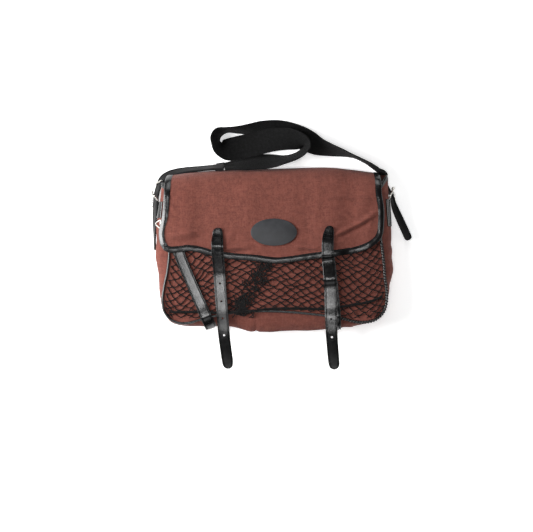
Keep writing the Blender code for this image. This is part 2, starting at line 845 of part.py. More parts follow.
def tube(name, path, radius, sides, finish, up=Vector((0.0, 0.0, 1.0)), closed=False):
    """A round cord or wire along a list of points, its sections turned to the up direction."""
    count = len(path)
    points = []
    for index, place in enumerate(path):
        if closed:
            run = path[(index + 1) % count] - path[index - 1]
        else:
            run = path[min(index + 1, count - 1)] - path[max(index - 1, 0)]
        run.normalize()
        side = run.cross(up).normalized()
        top = side.cross(run)
        for k in range(sides):
            turn = 2.0 * math.pi * (k + 0.5) / sides
            points.append(place + side * radius * math.cos(turn) + top * radius * math.sin(turn))
    faces = []
    for i in range(count if closed else count - 1):
        for k in range(sides):
            a = i * sides + k
            b = i * sides + (k + 1) % sides
            c = ((i + 1) % count) * sides + (k + 1) % sides
            d = ((i + 1) % count) * sides + k
            faces.append((a, d, c, b))
    if not closed:
        faces.append(tuple(range(sides)))
        faces.append(tuple((count - 1) * sides + k for k in range(sides))[::-1])
    thing = make_object(name, points, faces, finish, 60.0)
    weld(thing, 0.00001)
    return thing


def make_piping(stations):
    """The welt in the front seam, just outside the corner of panel and gusset."""
    reach = (PIPING_RADIUS + PIPING_GAP) / math.sqrt(2.0)
    path = []
    for index in range(1, len(stations) - 1):
        x, y = stations[index][:2]
        out = outward_at(stations, index)
        path.append(Vector((x + out.x * reach, y + out.y * reach, panel_height(x, y) + reach)))
    tube("front_piping", path, PIPING_RADIUS, 6, "leather")


def make_net():
    """The net: rows of diamond meshes cut through, in the panel's own shares, then laid on it."""
    panel = front_panel_reader()

    def corner(i, j):
        u = NET_LEFT + (NET_RIGHT - NET_LEFT) * i / NET_ACROSS
        v = NET_TOP + (NET_BOTTOM - NET_TOP) * j / NET_DOWN
        x, y = panel(u, v)
        return Vector((x, y, 0.0))

    points = []
    index = {}
    for i in range(NET_ACROSS + 1):
        for j in range(NET_DOWN + 1):
            if (i + j) % 2 == 0 or i in (0, NET_ACROSS) or j in (0, NET_DOWN):
                index[i, j] = len(points)
                points.append(corner(i, j))
    faces = []
    for i in range(NET_ACROSS + 1):
        for j in range(NET_DOWN + 1):
            if (i + j) % 2:
                ring = [(i - 1, j), (i, j + 1), (i + 1, j), (i, j - 1)]
                face = [index[key] if key in index else index[i, j] for key in ring]
                faces.append([vert for k, vert in enumerate(face) if vert != face[k - 1]])
    mesh = bpy.data.meshes.new("net")
    mesh.from_pydata([p * MM for p in points], [], faces)
    bm = bmesh.new()
    bm.from_mesh(mesh)
    bmesh.ops.recalc_face_normals(bm, faces=bm.faces)
    result = bmesh.ops.inset_individual(bm, faces=bm.faces[:], thickness=NET_BAR / 2 * MM,
                                        use_even_offset=True)
    rims = set(result["faces"])
    inner = [face for face in bm.faces if face not in rims]
    bmesh.ops.delete(bm, geom=inner, context="FACES")
    floor = bm.faces[:]
    raised = bmesh.ops.extrude_face_region(bm, geom=floor)
    for vert in [item for item in raised["geom"] if isinstance(item, bmesh.types.BMVert)]:
        vert.co.z += NET * MM
    for vert in bm.verts:
        vert.co.z += (panel_height(vert.co.x / MM, vert.co.y / MM) + GAP) * MM
    bmesh.ops.recalc_face_normals(bm, faces=bm.faces)
    bm.to_mesh(mesh)
    bm.free()
    net = bpy.data.objects.new("net", mesh)
    bpy.context.collection.objects.link(net)
    mesh.materials.append(material("net"))
    return net


def make_patch():
    """The oval patch sewn on the flap, its edge rounded over."""
    rings = ((1.0, 0.0), (1.0, 0.62), (0.955, 1.0), (0.5, 1.0))
    points = []
    for size, rise in rings:
        for k in range(PATCH_SIDES):
            turn = 2.0 * math.pi * k / PATCH_SIDES
            x = PATCH_X + PATCH_HALF_WIDTH * size * math.cos(turn)
            y = PATCH_Y + PATCH_HALF_HEIGHT * size * math.sin(turn)
            points.append((x, y, flap_height(x, y) + CANVAS / 2 + PATCH_GAP + PATCH * rise))
    middle = flap_height(PATCH_X, PATCH_Y) + CANVAS / 2 + PATCH_GAP
    points.append((PATCH_X, PATCH_Y, middle + PATCH))
    points.append((PATCH_X, PATCH_Y, middle))
    faces = []
    for ring in range(len(rings) - 1):
        for k in range(PATCH_SIDES):
            a = ring * PATCH_SIDES + k
            b = ring * PATCH_SIDES + (k + 1) % PATCH_SIDES
            faces.append((a, b, b + PATCH_SIDES, a + PATCH_SIDES))
    top = (len(rings) - 1) * PATCH_SIDES
    for k in range(PATCH_SIDES):
        following = (k + 1) % PATCH_SIDES
        faces.append((top + k, top + following, len(points) - 2))
        faces.append((following, k, len(points) - 1))
    make_object("oval_patch", points, faces, "patch", 50.0)


def ribbon(name, rows, thickness, finish, runs=(None, None)):
    """A flat strap through rows of (x, y, z, tilt, width): tilt turns its right edge up."""
    points = []
    count = len(rows)
    for index, (x, y, z, tilt, width) in enumerate(rows):
        before = Vector(rows[max(index - 1, 0)][:3])
        after = Vector(rows[min(index + 1, count - 1)][:3])
        run = (after - before).normalized()
        if index == 0 and runs[0]:
            run = runs[0]
        if index == count - 1 and runs[1]:
            run = runs[1]
        side = run.cross(Vector((0.0, 0.0, 1.0))).normalized()
        up = side.cross(run)
        turn = math.radians(tilt)
        across = side * math.cos(turn) + up * math.sin(turn)
        normal = across.cross(run)
        middle = Vector((x, y, z))
        for a, b in ((-0.5, -0.5), (0.5, -0.5), (0.5, 0.5), (-0.5, 0.5)):
            points.append(middle + across * width * a + normal * thickness * b)
    faces = []
    for i in range(count - 1):
        for k in range(4):
            a = i * 4 + k
            b = i * 4 + (k + 1) % 4
            faces.append((a, a + 4, b + 4, b))
    faces.append((0, 1, 2, 3))
    last = (count - 1) * 4
    faces.append((last + 3, last + 2, last + 1, last))
    thing = make_object(name, points, faces, finish, 40.0)
    weld(thing, 0.00001)
    return thing


def resting_tilt(surface, x, y, side):
    """The tilt of a strap lying on a surface, its right edge towards side (1 for +X, -1 for -X)."""
    half = STRAP_WIDTH / 2
    rise = surface(x + half, y) - surface(x - half, y)
    return side * math.degrees(math.atan2(rise, STRAP_WIDTH))


def flap_strap_height(x, y, over):
    """The height of a closing strap's middle over what it lies on."""
    half = STRAP / 2
    flap_top = flap_height(x, y) + CANVAS / 2
    net_top = panel_height(x, y) + GAP + NET
    free = panel_height(x, min(y, STRAP_EDGE_Y)) + PIPING_RISE + half
    droop = STRAP_DROOP * max(0.0, (STRAP_DROOP_START - y) / (STRAP_DROOP_START - STRAP_TIP_Y)) ** 1.6
    heights = {
        "flap": flap_top + 2 * GAP + half,
        "hem": flap_top + TRIM + 4 * GAP + half,
        "step": net_top + STEP_RISE + half,
        "net": net_top + 2 * GAP + half,
        "lower": net_top + STRAP + 4 * GAP + half,
        "piping": free,
        "crossing": free + CROSSING_RISE,
        "free": free - droop + (CROSSING_RISE if x > 0.0 else 0.0),
    }
    return heights[over]


def strap_holes(name, rows, holes_y):
    """Upright pegs where the strap's holes go, each turned square to the strap."""
    bm = bmesh.new()
    for hole_y in holes_y:
        for start, end in zip(rows, rows[1:]):
            if end[1] <= hole_y <= start[1]:
                share = (hole_y - start[1]) / (end[1] - start[1])
                place = [a + (b - a) * share for a, b in zip(start[:3], end[:3])]
                slope = math.atan2(end[2] - start[2], end[1] - start[1])
                turn = Matrix.Rotation(slope + math.pi, 4, "X")
                spot = Matrix.Translation(Vector(place) * MM) @ turn
                bmesh.ops.create_cone(bm, cap_ends=True, segments=10, radius1=STRAP_HOLE * MM,
                                      radius2=STRAP_HOLE * MM, depth=STRAP * 3 * MM, matrix=spot)
                break
    mesh = bpy.data.meshes.new(name)
    bm.to_mesh(mesh)
    bm.free()
    cutter = bpy.data.objects.new(name, mesh)
    bpy.context.collection.objects.link(cutter)
    cutter.hide_render = True
    cutter.display_type = "WIRE"
    return cutter


def make_flap_strap(name, table, holes_y):
    rows = []
    for x, y, over, width in table:
        surface = flap_height if over in ("flap", "hem") else panel_height
        tilt = 0.0 if over == "free" else resting_tilt(surface, x, y, -1)
        rows.append((x, y, flap_strap_height(x, y, over), tilt, width))
    rows = even_rows(dense_curve(rows), 34)
    strap = ribbon(name, rows, STRAP, "leather")
    cut = strap.modifiers.new("holes", "BOOLEAN")
    cut.operation = "DIFFERENCE"
    cut.solver = "EXACT"
    cut.object = strap_holes(name + "_holes", rows, holes_y)


def make_lower_strap(name, table):
    rows = []
    for x, y, lift, width in table:
        rows.append((x, y, panel_height(x, y) + lift, resting_tilt(panel_height, x, y, 1), width))
    rows = even_rows(dense_curve(rows), 20, 3)
    ribbon(name, rows, STRAP, "leather")
    return rows


def make_lower_buckle(name, rows):
    """The plain hidden buckle at a lower strap's upper end."""
    x, y, z = rows[-1][:3]
    middle_y = y + LOWER_BUCKLE_HALF_LENGTH + BUCKLE_WIRE + GAP
    corners = ((-1, -1), (1, -1), (1, 1), (-1, 1))
    path = []
    for a, b in corners:
        spot_x = x + a * LOWER_BUCKLE_HALF_WIDTH
        spot_y = middle_y + b * LOWER_BUCKLE_HALF_LENGTH
        path.append(Vector((spot_x, spot_y, z)))
    tube(name, rounded_loop(path, 2.4), BUCKLE_WIRE, 6, "nickel", closed=True)


def rounded_loop(corners, radius, steps=3):
    """A closed loop with its corners rounded."""
    path = []
    count = len(corners)
    for index, corner in enumerate(corners):
        before = corners[index - 1] - corner
        before *= min(radius / before.length, 0.45)
        after = corners[(index + 1) % count] - corner
        after *= min(radius / after.length, 0.45)
        for step in range(steps + 1):
            share = step / steps
            path.append(corner + before * (1 - share) ** 2 + after * share ** 2)
    return path


def shoulder_rows(table, width, thickness, steps):
    """A stretch of the shoulder strap, each row resting on the surface or lifted from it."""
    rows = []
    for x, y, tilt, lift in table:
        turn = math.radians(tilt)
        rest = width / 2 * abs(math.sin(turn)) + thickness / 2 * abs(math.cos(turn)) + GAP
        rows.append((x, y, rest + lift, tilt, width))
    return even_rows(dense_curve(rows), steps)


def taper_tip(rows, at_start):
    """Narrow a strap's free end to a blunt point."""
    lengths = distances(rows, 3)
    tapered = []
    for row, length in zip(rows, lengths):
        distance = length if at_start else lengths[-1] - length
        curve = math.sin(min(distance / TIP_LENGTH, 1.0) * math.pi / 2)
        tapered.append((*row[:4], row[4] * (TIP_SHARE + (1.0 - TIP_SHARE) * curve)))
    return tapered


def shorten(rows, at_start, amount):
    """Draw one end of a strap back along its own run."""
    end, inner = (0, 1) if at_start else (-1, -2)
    row = rows[end]
    run = Vector(rows[inner][:3]) - Vector(row[:3])
    place = Vector(row[:3]) + run.normalized() * amount
    rows[end] = (*place, *row[3:])
    return rows


def run_between(before, after):
    return (Vector(after[:3]) - Vector(before[:3])).normalized()


def make_shoulder_strap():
    """The left leather end, the webbing and the right leather end, meeting face to face."""
    left = shoulder_rows(END_LEFT, STRAP_END_WIDTH, STRAP_END, END_LEFT_STEPS)
    middle = shoulder_rows(WEBBING_PATH, WEBBING_WIDTH, WEBBING, WEBBING_STEPS)
    right = shoulder_rows(END_RIGHT, STRAP_END_WIDTH, STRAP_END, END_RIGHT_STEPS)
    first = run_between(left[-2], middle[1])
    second = run_between(middle[-2], right[1])
    left = shorten(taper_tip(left, True), False, 1.5 * GAP)
    right = shorten(taper_tip(right, False), True, 1.5 * GAP)
    ribbon("strap_end_left", left, STRAP_END, "leather", (None, first))
    ribbon("shoulder_webbing", middle, WEBBING, "webbing", (first, second))
    ribbon("strap_end_right", right, STRAP_END, "leather", (second, None))


def gusset_at(gusset, side, y, position):
    """A point of the gusset's outer face at a length along the bag and a place down its profile."""
    rows = gusset[:SIDE_STEPS + 1] if side < 0 else gusset[-SIDE_STEPS - 1:][::-1]
    k = min(int(position), len(GUSSET) - 2)
    part = position - k
    places = [row[k].lerp(row[k + 1], part) for row in rows]
    for upper, lower in zip(places, places[1:]):
        if lower.y <= y <= upper.y:
            return upper.lerp(lower, (upper.y - y) / (upper.y - lower.y))
    return places[0]


def make_tabs(gusset):
    """Leather tabs sewn on the gusset, curved over it."""
    columns = len(TAB_PROFILE)
    for name, (side, top_y, low_y) in TABS.items():
        points = []
        for layer in (TAB_GAP, TAB_GAP + TAB):
            for i in range(TAB_ROWS):
                y = top_y + (low_y - top_y) * i / (TAB_ROWS - 1)
                for position in TAB_PROFILE:
                    place = gusset_at(gusset, side, y, position)
                    above = gusset_at(gusset, side, y, position - TAB_SLOPE_SPAN)
                    slope = above - gusset_at(gusset, side, y, position + TAB_SLOPE_SPAN)
                    normal = Vector((side * slope.z, 0.0, -side * slope.x)).normalized()
                    points.append(place + normal * layer)
        size = TAB_ROWS * columns
        faces = grid_faces(TAB_ROWS, columns)
        faces += [face[::-1] for face in grid_faces(TAB_ROWS, columns, size)]
        border = list(range(columns))
        border += [i * columns + columns - 1 for i in range(1, TAB_ROWS)]
        border += [size - 1 - j for j in range(1, columns)]
        border += [i * columns for i in range(TAB_ROWS - 2, 0, -1)]
        for a, b in zip(border, border[1:] + border[:1]):
            faces.append((a, b, b + size, a + size))
        weld(make_object(name, points, faces, "leather"), 0.00001)


def make_strap_buckles():
    """Frames with their prongs, each frame leaning out from the bag's side."""
    for name, (in_x, in_y, out_x, out_y, z, prong_x, prong_y) in STRAP_BUCKLES.items():
        low, high = z - BUCKLE_HALF_WIDTH, z + BUCKLE_HALF_WIDTH
        corners = [Vector((in_x, in_y, low)), Vector((in_x, in_y, high)),
                   Vector((out_x, out_y, high)), Vector((out_x, out_y, low))]
        path = rounded_loop(corners, 2.6)
        frame = tube(name, path, BUCKLE_WIRE, 8, "nickel", loop_normal(path), True)
        prong_path = [Vector((out_x, out_y, z)), Vector(((out_x * 2 + prong_x) / 3, out_y - 8.0, z)),
                      Vector((prong_x, prong_y, z))]
        prong = tube(name + "_prong", prong_path, PRONG_WIRE, 6, "nickel")
        prong.hide_render = True
        prong.display_type = "WIRE"
        join = frame.modifiers.new("prong", "BOOLEAN")
        join.operation = "UNION"
        join.solver = "EXACT"
        join.object = prong


def make_wire_loops():
    """The keeper round the left strap end and the ring below the left tab."""
    for name, corners in (("strap_keeper_left", KEEPER_CORNERS), ("side_ring_left", RING_CORNERS)):
        path = rounded_loop([Vector(corner) for corner in corners], 2.6)
        tube(name, path, RING_WIRE, 6, "nickel", loop_normal(path), True)


def main():
    clear_scene()
    stations, gusset = make_body()
    rows = make_flap()
    make_flap_binding(rows)
    make_rim_bindings(gusset)
    make_piping(stations)
    make_net()
    make_patch()
    make_lower_buckle("lower_buckle_left", make_lower_strap("lower_strap_left", LOWER_STRAP_LEFT))
    make_lower_buckle("lower_buckle_right", make_lower_strap("lower_strap_right", LOWER_STRAP_RIGHT))
    make_flap_strap("flap_strap_left", FLAP_STRAP_LEFT, LEFT_HOLES_Y)
    make_flap_strap("flap_strap_right", FLAP_STRAP_RIGHT, RIGHT_HOLES_Y)
    make_tabs(gusset)
    make_strap_buckles()
    make_wire_loops()
    make_shoulder_strap()


main()
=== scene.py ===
import bisect
import json
import math
import random

import bpy
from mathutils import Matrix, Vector, noise

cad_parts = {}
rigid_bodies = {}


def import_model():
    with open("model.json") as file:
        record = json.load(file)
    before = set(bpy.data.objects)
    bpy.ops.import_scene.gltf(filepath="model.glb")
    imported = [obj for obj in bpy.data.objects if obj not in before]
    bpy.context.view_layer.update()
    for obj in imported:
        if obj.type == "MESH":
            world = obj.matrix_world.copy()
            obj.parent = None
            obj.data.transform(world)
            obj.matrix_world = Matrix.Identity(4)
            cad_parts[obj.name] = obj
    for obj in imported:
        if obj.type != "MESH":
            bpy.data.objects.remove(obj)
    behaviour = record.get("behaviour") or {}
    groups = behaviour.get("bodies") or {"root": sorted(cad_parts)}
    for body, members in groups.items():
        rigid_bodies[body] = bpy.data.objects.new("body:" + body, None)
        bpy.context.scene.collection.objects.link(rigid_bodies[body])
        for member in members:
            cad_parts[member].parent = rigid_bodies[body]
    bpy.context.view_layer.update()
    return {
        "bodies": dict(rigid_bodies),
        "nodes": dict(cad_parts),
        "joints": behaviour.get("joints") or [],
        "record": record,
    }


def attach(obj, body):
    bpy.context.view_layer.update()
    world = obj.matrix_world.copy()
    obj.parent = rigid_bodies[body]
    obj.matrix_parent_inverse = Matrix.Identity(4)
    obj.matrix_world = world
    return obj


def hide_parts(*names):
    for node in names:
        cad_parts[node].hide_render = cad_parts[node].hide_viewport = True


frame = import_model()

# Lengths are millimetres until a mesh is made: +X the bag's right as seen, +Y its top, +Z up.
MM = 0.001
UP = Vector((0, 0, 1))
# Thicknesses, widths and clearances
CANVAS = 1.6
STRAP = 2.4
STRAP_END = 2.8
STRAP_END_WIDTH = 20
WEBBING = 1.8
WEBBING_WIDTH = 40
GAP = 0.3
BINDING = 0.95
SLEEVE = STRAP_END + 1.6
HOLE_RADIUS = 1.75
WELT_RADIUS = 2.05
WELT_OFFSET = 2.5 / math.sqrt(2)
CURVE_STEPS = 14
NET_SEED, GATHER_SEED = 11, 7
# Rows of stitches: length, gap between them, radius of the thread
BINDING_THREAD = (2, 1.1, 0.26)
STRAP_THREAD = (2.2, 1.2, 0.34)
CROSS_THREAD = (2, 1, 0.32)
PATCH_THREAD = (1.9, 1, 0.24)
TAB_THREAD = (2.1, 1.1, 0.3)

# The front panel: height of its rim, rise of its crown, where the crown is highest
PANEL_RIM_Z = 40
PANEL_CROWN = 8
PANEL_MIDDLE_Y = -8
# How far the flap's cloth lies over the front, and how much more over what it covers
FLAP_OVER_FRONT = 4.6
FLAP_OVER_STRAPS = 2.9
CLOSING_STRAPS_X = (-94.5, 92)
# The front seam, from the mouth's left end round the bottom to its right end: x, y, bulge, tuck
SEAM = (
    (-172, 98, 17, 9), (-174, 62, 20, 9), (-174.5, 34, 24, 9), (-174.7, -7, 24.8, 9),
    (-177.7, -36, 19, 9), (-182.5, -59, 12, 9), (-186, -83, 5.5, 9), (-184.5, -98, 4, 9),
    (-180, -108, 4, 9), (-171, -117, 5, 9), (-157, -121.7, 5.5, 9), (-142, -120.8, 8, 9),
    (-118, -114, 16, 9), (-76, -105, 25.5, 9), (-46, -102, 34.5, 9), (-12, -101.5, 37.5, 9),
    (28, -103, 34, 9), (83, -108.5, 26.5, 9), (117, -114, 18.5, 9), (134, -118.5, 11, 9),
    (150, -120.5, 5.5, 9), (170, -116.5, 3.5, 9), (183.5, -104.5, 2.5, 9), (189, -87, 2.5, 9),
    (188.7, -68, 7.5, 9), (186, -46, 14, 9), (184, -20, 18, 9), (179.6, 17, 20, 9),
    (176.5, 52, 20, 11), (174.5, 76, 20, 14), (172, 98, 20, 15),
)
# Points of the seam's dense curve at its two lower corners
LEFT_CORNER = 8 * CURVE_STEPS
RIGHT_CORNER = 22 * CURVE_STEPS
# The seam's stations that are the back panel's lower corners
BACK_LEFT, BACK_RIGHT = 68, 190
# The gusset's upper ends: where they begin, their length, and how far the rim and the back
# rise along them, left and right
SIDE_START_Y = 20
SIDE_LENGTH = 78
END_RISES = ((15, 25), (26, 29))
# The gusset from the front seam down to the back seam: shares of height, bulge and tuck
GUSSET = (
    (1, 0, 0), (0.88, 0.62, 0), (0.72, 0.92, 0), (0.58, 1, 0), (0.28, 1, 0.52), (0, 1, 1),
)
# The back's top edge and the furthest reach of the flap's fold: x, back, fold
TOP = (
    (-182, 123, 125.2), (-150, 125.5, 129.8), (-110, 127.5, 133.4), (-60, 128, 136.2),
    (0, 128, 137.2), (88, 128, 139.6), (130, 128, 136), (172, 127, 130.6), (180, 127, 129),
)
# The flap from its hinge to its turn: forward, then shares of the reach and of the rise
FOLD = (
    (0, 0, 0), (-0.2, 0.45, 0.015), (0, 0.85, 0.085), (0, 1, 0.215), (0.2, 0.95, 0.39),
    (2.6, 0.8, 0.59), (8.4, 0.5, 0.78), (18, 0.2, 0.92),
)
# Where the flap turns on to the front, and its hinge at the back's top edge
TURN_Y = 95
HINGE_HALF_WIDTH = 174
HINGE_GAP = 0.6
HINGE_Z = CANVAS / 2 + 0.1
FLAP_MIDDLE = Vector((0, 60, 46))
# The row of the flap's cloth at which its binding starts
BINDING_START = 14
# The flap's sides and its hem: x, y
FLAP_LEFT = (
    (-183.8, 95), (-185.8, 67), (-188.4, 50), (-191.6, 37), (-192.4, 23), (-189, 8), (-184, 0.5),
)
FLAP_HEM = (
    (-184, 0.5), (-174, -3.2), (-156, -2), (-143, -0.5), (-124, -3.5), (-104, -9), (-76, -13.5),
    (-30, -17.5), (2, -21.5), (28, -19.5), (60, -14.8), (107, -8.5), (139, -3.5), (160, 4),
    (172.5, 12),
)
FLAP_RIGHT = (
    (181, 95), (184.8, 72), (185.2, 54), (183.4, 30), (179, 19), (172.5, 12),
)
# Folds of the flap: x, y, angle in degrees, half length, half width, height
CREASES = (
    (131, 38.5, 27, 33, 3.4, 3.6), (133, 33, 27, 34, 4.4, -2.4), (158, 53, 36, 22, 5, 2.4),
    (160, 47.5, 36, 20, 4, -1.4), (146, 70, 64, 22, 9, 1.6), (164, 46, 86, 10, 3, 1.4),
    (57, 4.5, -7, 20, 3, 3.4), (60, -1, -7, 20, 3, -2.6), (-62, -2.5, 3, 20, 3.6, -3.6),
    (-62, 5, 3, 24, 4.4, 2.8), (-74, 20, 62, 18, 5, 1.1), (-150, 26, 12, 26, 5, 2.8),
    (-138, 17, 14, 22, 5, -1.4), (-160, 36, -12, 24, 7, 1.4), (126, 88, 1, 52, 2.6, 1.3),
    (0, 88, 1, 165, 8, 0.7), (34, 62, 86, 46, 14, 1.3), (84, 74, 82, 40, 12, -1.2),
    (-40, 76, 94, 44, 16, 1), (-110, 70, 80, 44, 16, -0.9),
)
# Folds of the gusset: x, y on the seam, half width along it, middle and half reach down it, depth
GUSSET_FOLDS = (
    (-30, -102, 3, 0.45, 0.55, 2.4), (-42, -102, 7, 0.4, 0.4, -1.2),
    (16, -103, 16, 0.35, 0.25, 1.4), (60, -106, 12, 0.55, 0.25, -1.2),
    (122, -116, 4, 0.3, 0.3, 1.4), (134, -118, 4.5, 0.45, 0.35, -1.2),
    (188, -60, 6, 0.35, 0.35, 1.8), (187, -36, 8, 0.45, 0.35, -1.3), (184, -14, 7, 0.35, 0.3, 2),
    (181, 8, 6, 0.55, 0.35, 1.6), (178, 30, 9, 0.35, 0.3, -1), (-176, 18, 11, 0.4, 0.35, 1.5),
    (-175, -14, 9, 0.5, 0.35, -1.1), (-180, -48, 12, 0.4, 0.35, 1), (-90, -108, 10, 0.5, 0.35, 1),
)

# Closing straps: x, y, what lies below, slack above it, width
FLAP_STRAP_LEFT = (
    (-94.2, 37.5, "flap", 0, 7), (-94.2, 33.5, "flap", 0, 15), (-94.4, 24, "flap", 0.2, 18),
    (-94.9, 14, "flap", 2.8, 20.2), (-94.9, 8, "flap", 4, 20.4), (-94.8, 3, "flap", 3.5, 20.4),
    (-94.6, -2, "flap", 2.5, 20.4), (-93.8, -11, "flap", 1, 20.4), (-92.8, -22, "net", 2.7, 20.3),
    (-91.9, -33, "net", 1.2, 20.1), (-91.2, -44, "net", 0.1, 20), (-90, -62, "net", 0.4, 20.4),
    (-89, -75, "net", 1.1, 20.3), (-88, -88, "net", 2.1, 20.2), (-86.9, -102, "piping", 0, 20),
    (-85.4, -122, "free", 0, 20), (-83.6, -144, "free", 0, 19.6), (-80.6, -168, "free", 0, 19.4),
    (-77.6, -190, "free", 0, 18.6), (-76.4, -197.5, "free", 0, 14), (-76, -200.6, "free", 0, 7),
)
FLAP_STRAP_RIGHT = (
    (95.6, 40.6, "flap", 0, 7), (94.6, 36, "flap", 0, 14), (92.4, 25, "flap", 0.2, 18.4),
    (91.2, 15, "flap", 1.9, 19.8), (91, 9, "flap", 2.2, 20), (91, -9, "flap", 1.7, 20.2),
    (91.4, -14.5, "lower", 1, 20.3), (92.2, -20.5, "lower", 0.1, 20.5),
    (93.6, -34, "lower", 1.5, 21), (94.8, -46, "lower", 2.9, 21.4), (95.2, -52, "lower", 2.6, 21.6),
    (95.7, -59, "lower", 0.9, 21.6), (96.3, -68, "lower", 0.4, 21.6),
    (96.6, -84, "lower", 1.1, 21.5), (96.7, -98, "lower", 1.6, 21.2),
    (96.9, -112, "crossing", 0, 20.8), (97.4, -126, "free", 0, 20.4), (98.2, -145, "free", 0, 20),
    (100.2, -172, "free", 0, 19.4), (102.2, -192, "free", 0, 18.4), (102.8, -199, "free", 0, 13.6),
    (103, -201.8, "free", 0, 7),
)
LEFT_HOLES_Y = (-57, -86, -114.6, -143.6)
RIGHT_HOLES_Y = (-87, -116, -146.4)
# Lower straps: x, y, lift over the front, width
LOWER_STRAP_LEFT = (
    (-105, -132, -17.5, 19), (-105.6, -130.6, -10.5, 19.4), (-107.6, -126.4, -3.2, 19.6),
    (-110.4, -120, 2.8, 19.6), (-113.4, -113.6, 5.6, 19.6), (-116.6, -106.4, 5.2, 19.6),
    (-122, -94, 3.6, 19.4), (-130, -76, 3.4, 19.2), (-142, -48, 3.4, 19), (-152, -25, 3.3, 19),
    (-159, -6, 3.3, 19), (-160, 6, 3.9, 19),
)
LOWER_STRAP_RIGHT = (
    (105, -135.2, -17.5, 19.4), (104.8, -133.4, -10, 19.4), (104.5, -129, -2.8, 19.4),
    (104.2, -122, 2.8, 19.4), (103.8, -114, 5.6, 19.4), (103.2, -106, 5.2, 19.4),
    (102.2, -94, 3.6, 19.4), (100.6, -76, 3.4, 19.2), (97.6, -48, 3.4, 19), (94.4, -20, 3.4, 19),
    (92.4, -4, 3.2, 19), (92, 6, 3.6, 19),
)
# The shoulder strap: x, y, tilt in degrees from lying flat, lift from resting
END_LEFT = (
    (-201.5, 0, 85, 5), (-201.5, 10, 84, 5.5), (-201.6, 28, 80, 6), (-201.2, 45, 72, 5),
    (-200.8, 66, 68, 5), (-199.2, 91, 65, 5), (-195, 108, 64, 5), (-191.4, 116.4, 60, 4.5),
    (-185.2, 123.2, 50, 3.5), (-175, 129, 50, 2.2), (-160, 133.6, 56, 1.2), (-140, 136.6, 62, 1),
    (-112, 139.4, 66, 3), (-84, 142, 60, 7),
)
WEBBING_PATH = (
    (-84, 142, 60, 0), (-62, 146, 55, 0), (-36, 149.6, 50, 0), (-10, 150.6, 52, 0),
    (6, 151.6, 60, 0), (19, 153.6, 69, 0), (36, 158.6, 72, 0.5), (49, 166.6, 73, 3),
    (55, 176.4, 72, 6), (50, 183, 58, 9), (38, 186.4, 40, 12), (22, 188.2, 26, 14),
    (0, 187.2, 14, 14), (-22, 182.6, 6, 13.5), (-44, 177.4, 2, 13), (-64, 172.8, -4, 12),
    (-80, 170.6, -24, 7), (-91, 173.2, -52, 2), (-97.4, 181.4, -68, 0), (-98.6, 191.4, -68, 0),
    (-92.6, 200, -70, 0), (-79, 203.8, -80, 0), (-61, 204, -76, 0), (-43, 205, -67, 0),
    (-19, 206.8, -55, 0), (6, 204.4, -38, 0), (29, 198.4, -27, 0), (48, 190.8, -22, 0),
    (64, 182.8, -30, 0), (79, 175.6, -47, 0), (96, 170.4, -61, 0), (115, 165.2, -74, 0),
    (137, 158.4, -86, 0), (155, 150, -86, 0), (169, 141.2, -80, 0), (178.4, 134.6, -78, 0),
)
END_RIGHT = (
    (178.4, 134.6, -78, 3), (185.4, 130.2, -68, 2.6), (188.4, 122.6, -60, 0.8),
    (188.6, 113.6, -60, 0), (190.4, 107.6, -62, 0.6), (194.6, 102, -70, 2), (199.4, 95.4, -80, 3.9),
    (202.3, 86, -76, 3), (206.2, 72, -64, 1.5), (214.4, 53, -58, 0.4), (223.6, 33, -57, 0),
    (230.6, 17.2, -57, 0),
)

# The net over the front
NET_COLUMNS = 21
NET_ROWS = 22
NET_CORD = 0.82
LOWER_SEAM_Y = -101
# The line of the net's bunched gather: x, y
GATHER = ((-17, -20), (-22, -34), (-33, -52), (-44, -70), (-52, -86), (-60, -106))
# Clumps of the gather: middle x and y, spread across and down, how many lengths of cord
GATHER_CLUMPS = (
    (-17, -31, 6.5, 6.5, 17), (-33, -58, 6, 7, 17), (-25, -46, 7, 6, 9), (-45, -76, 5, 5, 8),
    (-53, -93, 5.5, 6, 34),
)
# The cord drawn through the net's lower edge: x, y
DRAW_CORD = (
    (-176, -103), (-160, -104), (-129, -103.6), (-104, -105), (-80, -104.4), (-56, -103.4),
    (-36, -102), (-6, -98.6), (28, -98), (60, -98.2), (84, -98.4), (116.6, -94.5), (145.8, -89.8),
    (163, -86), (175, -81.5), (184, -77),
)

# Where the closing straps leave the front, begin to droop, and end
STRAP_EDGE_Y = -100
DROOP_START_Y = -118
TIP_Y = -201
# A strap's edge, rounded and with a line pressed inside it: inset, share of half the thickness
EDGE_PROFILE = (
    (0, 0), (0.1, 0.55), (0.35, 0.88), (0.7, 1), (1.4, 1), (2.2, 0.1), (2.8, 0.1), (3.7, 1.02),
)
# The pressed line's distance from the strap's edge
GROOVE = 2.5

# Side tabs: side, upper and lower end along the bag
TABS = {"left": (-1, 82, 54), "right": (1, 86, 40)}
# Strap buckles: inner bar x and y, outer bar x and y, middle height, prong's tip x and y
STRAP_BUCKLES = {
    "left": (-195.6, 84, -207.2, 97.6, 17.6, -205.8, 72),
    "right": (196.5, 88, 203.4, 104.4, 14, 207.6, 79),
}
BUCKLE_HALF = 12.2
# The corners of the keeper and of the ring: x, y, z
KEEPER_CORNERS = (
    (-200.3, 112.6, 4.6), (-199.9, 112.6, 29.6), (-189.4, 117.6, 29.6), (-189.8, 117.6, 4.6),
)
RING_CORNERS = (
    (-198.6, 46.5, 26.5), (-190.8, 51.4, 37.6), (-191.8, 36, 37.6), (-199.4, 43, 26.5),
)
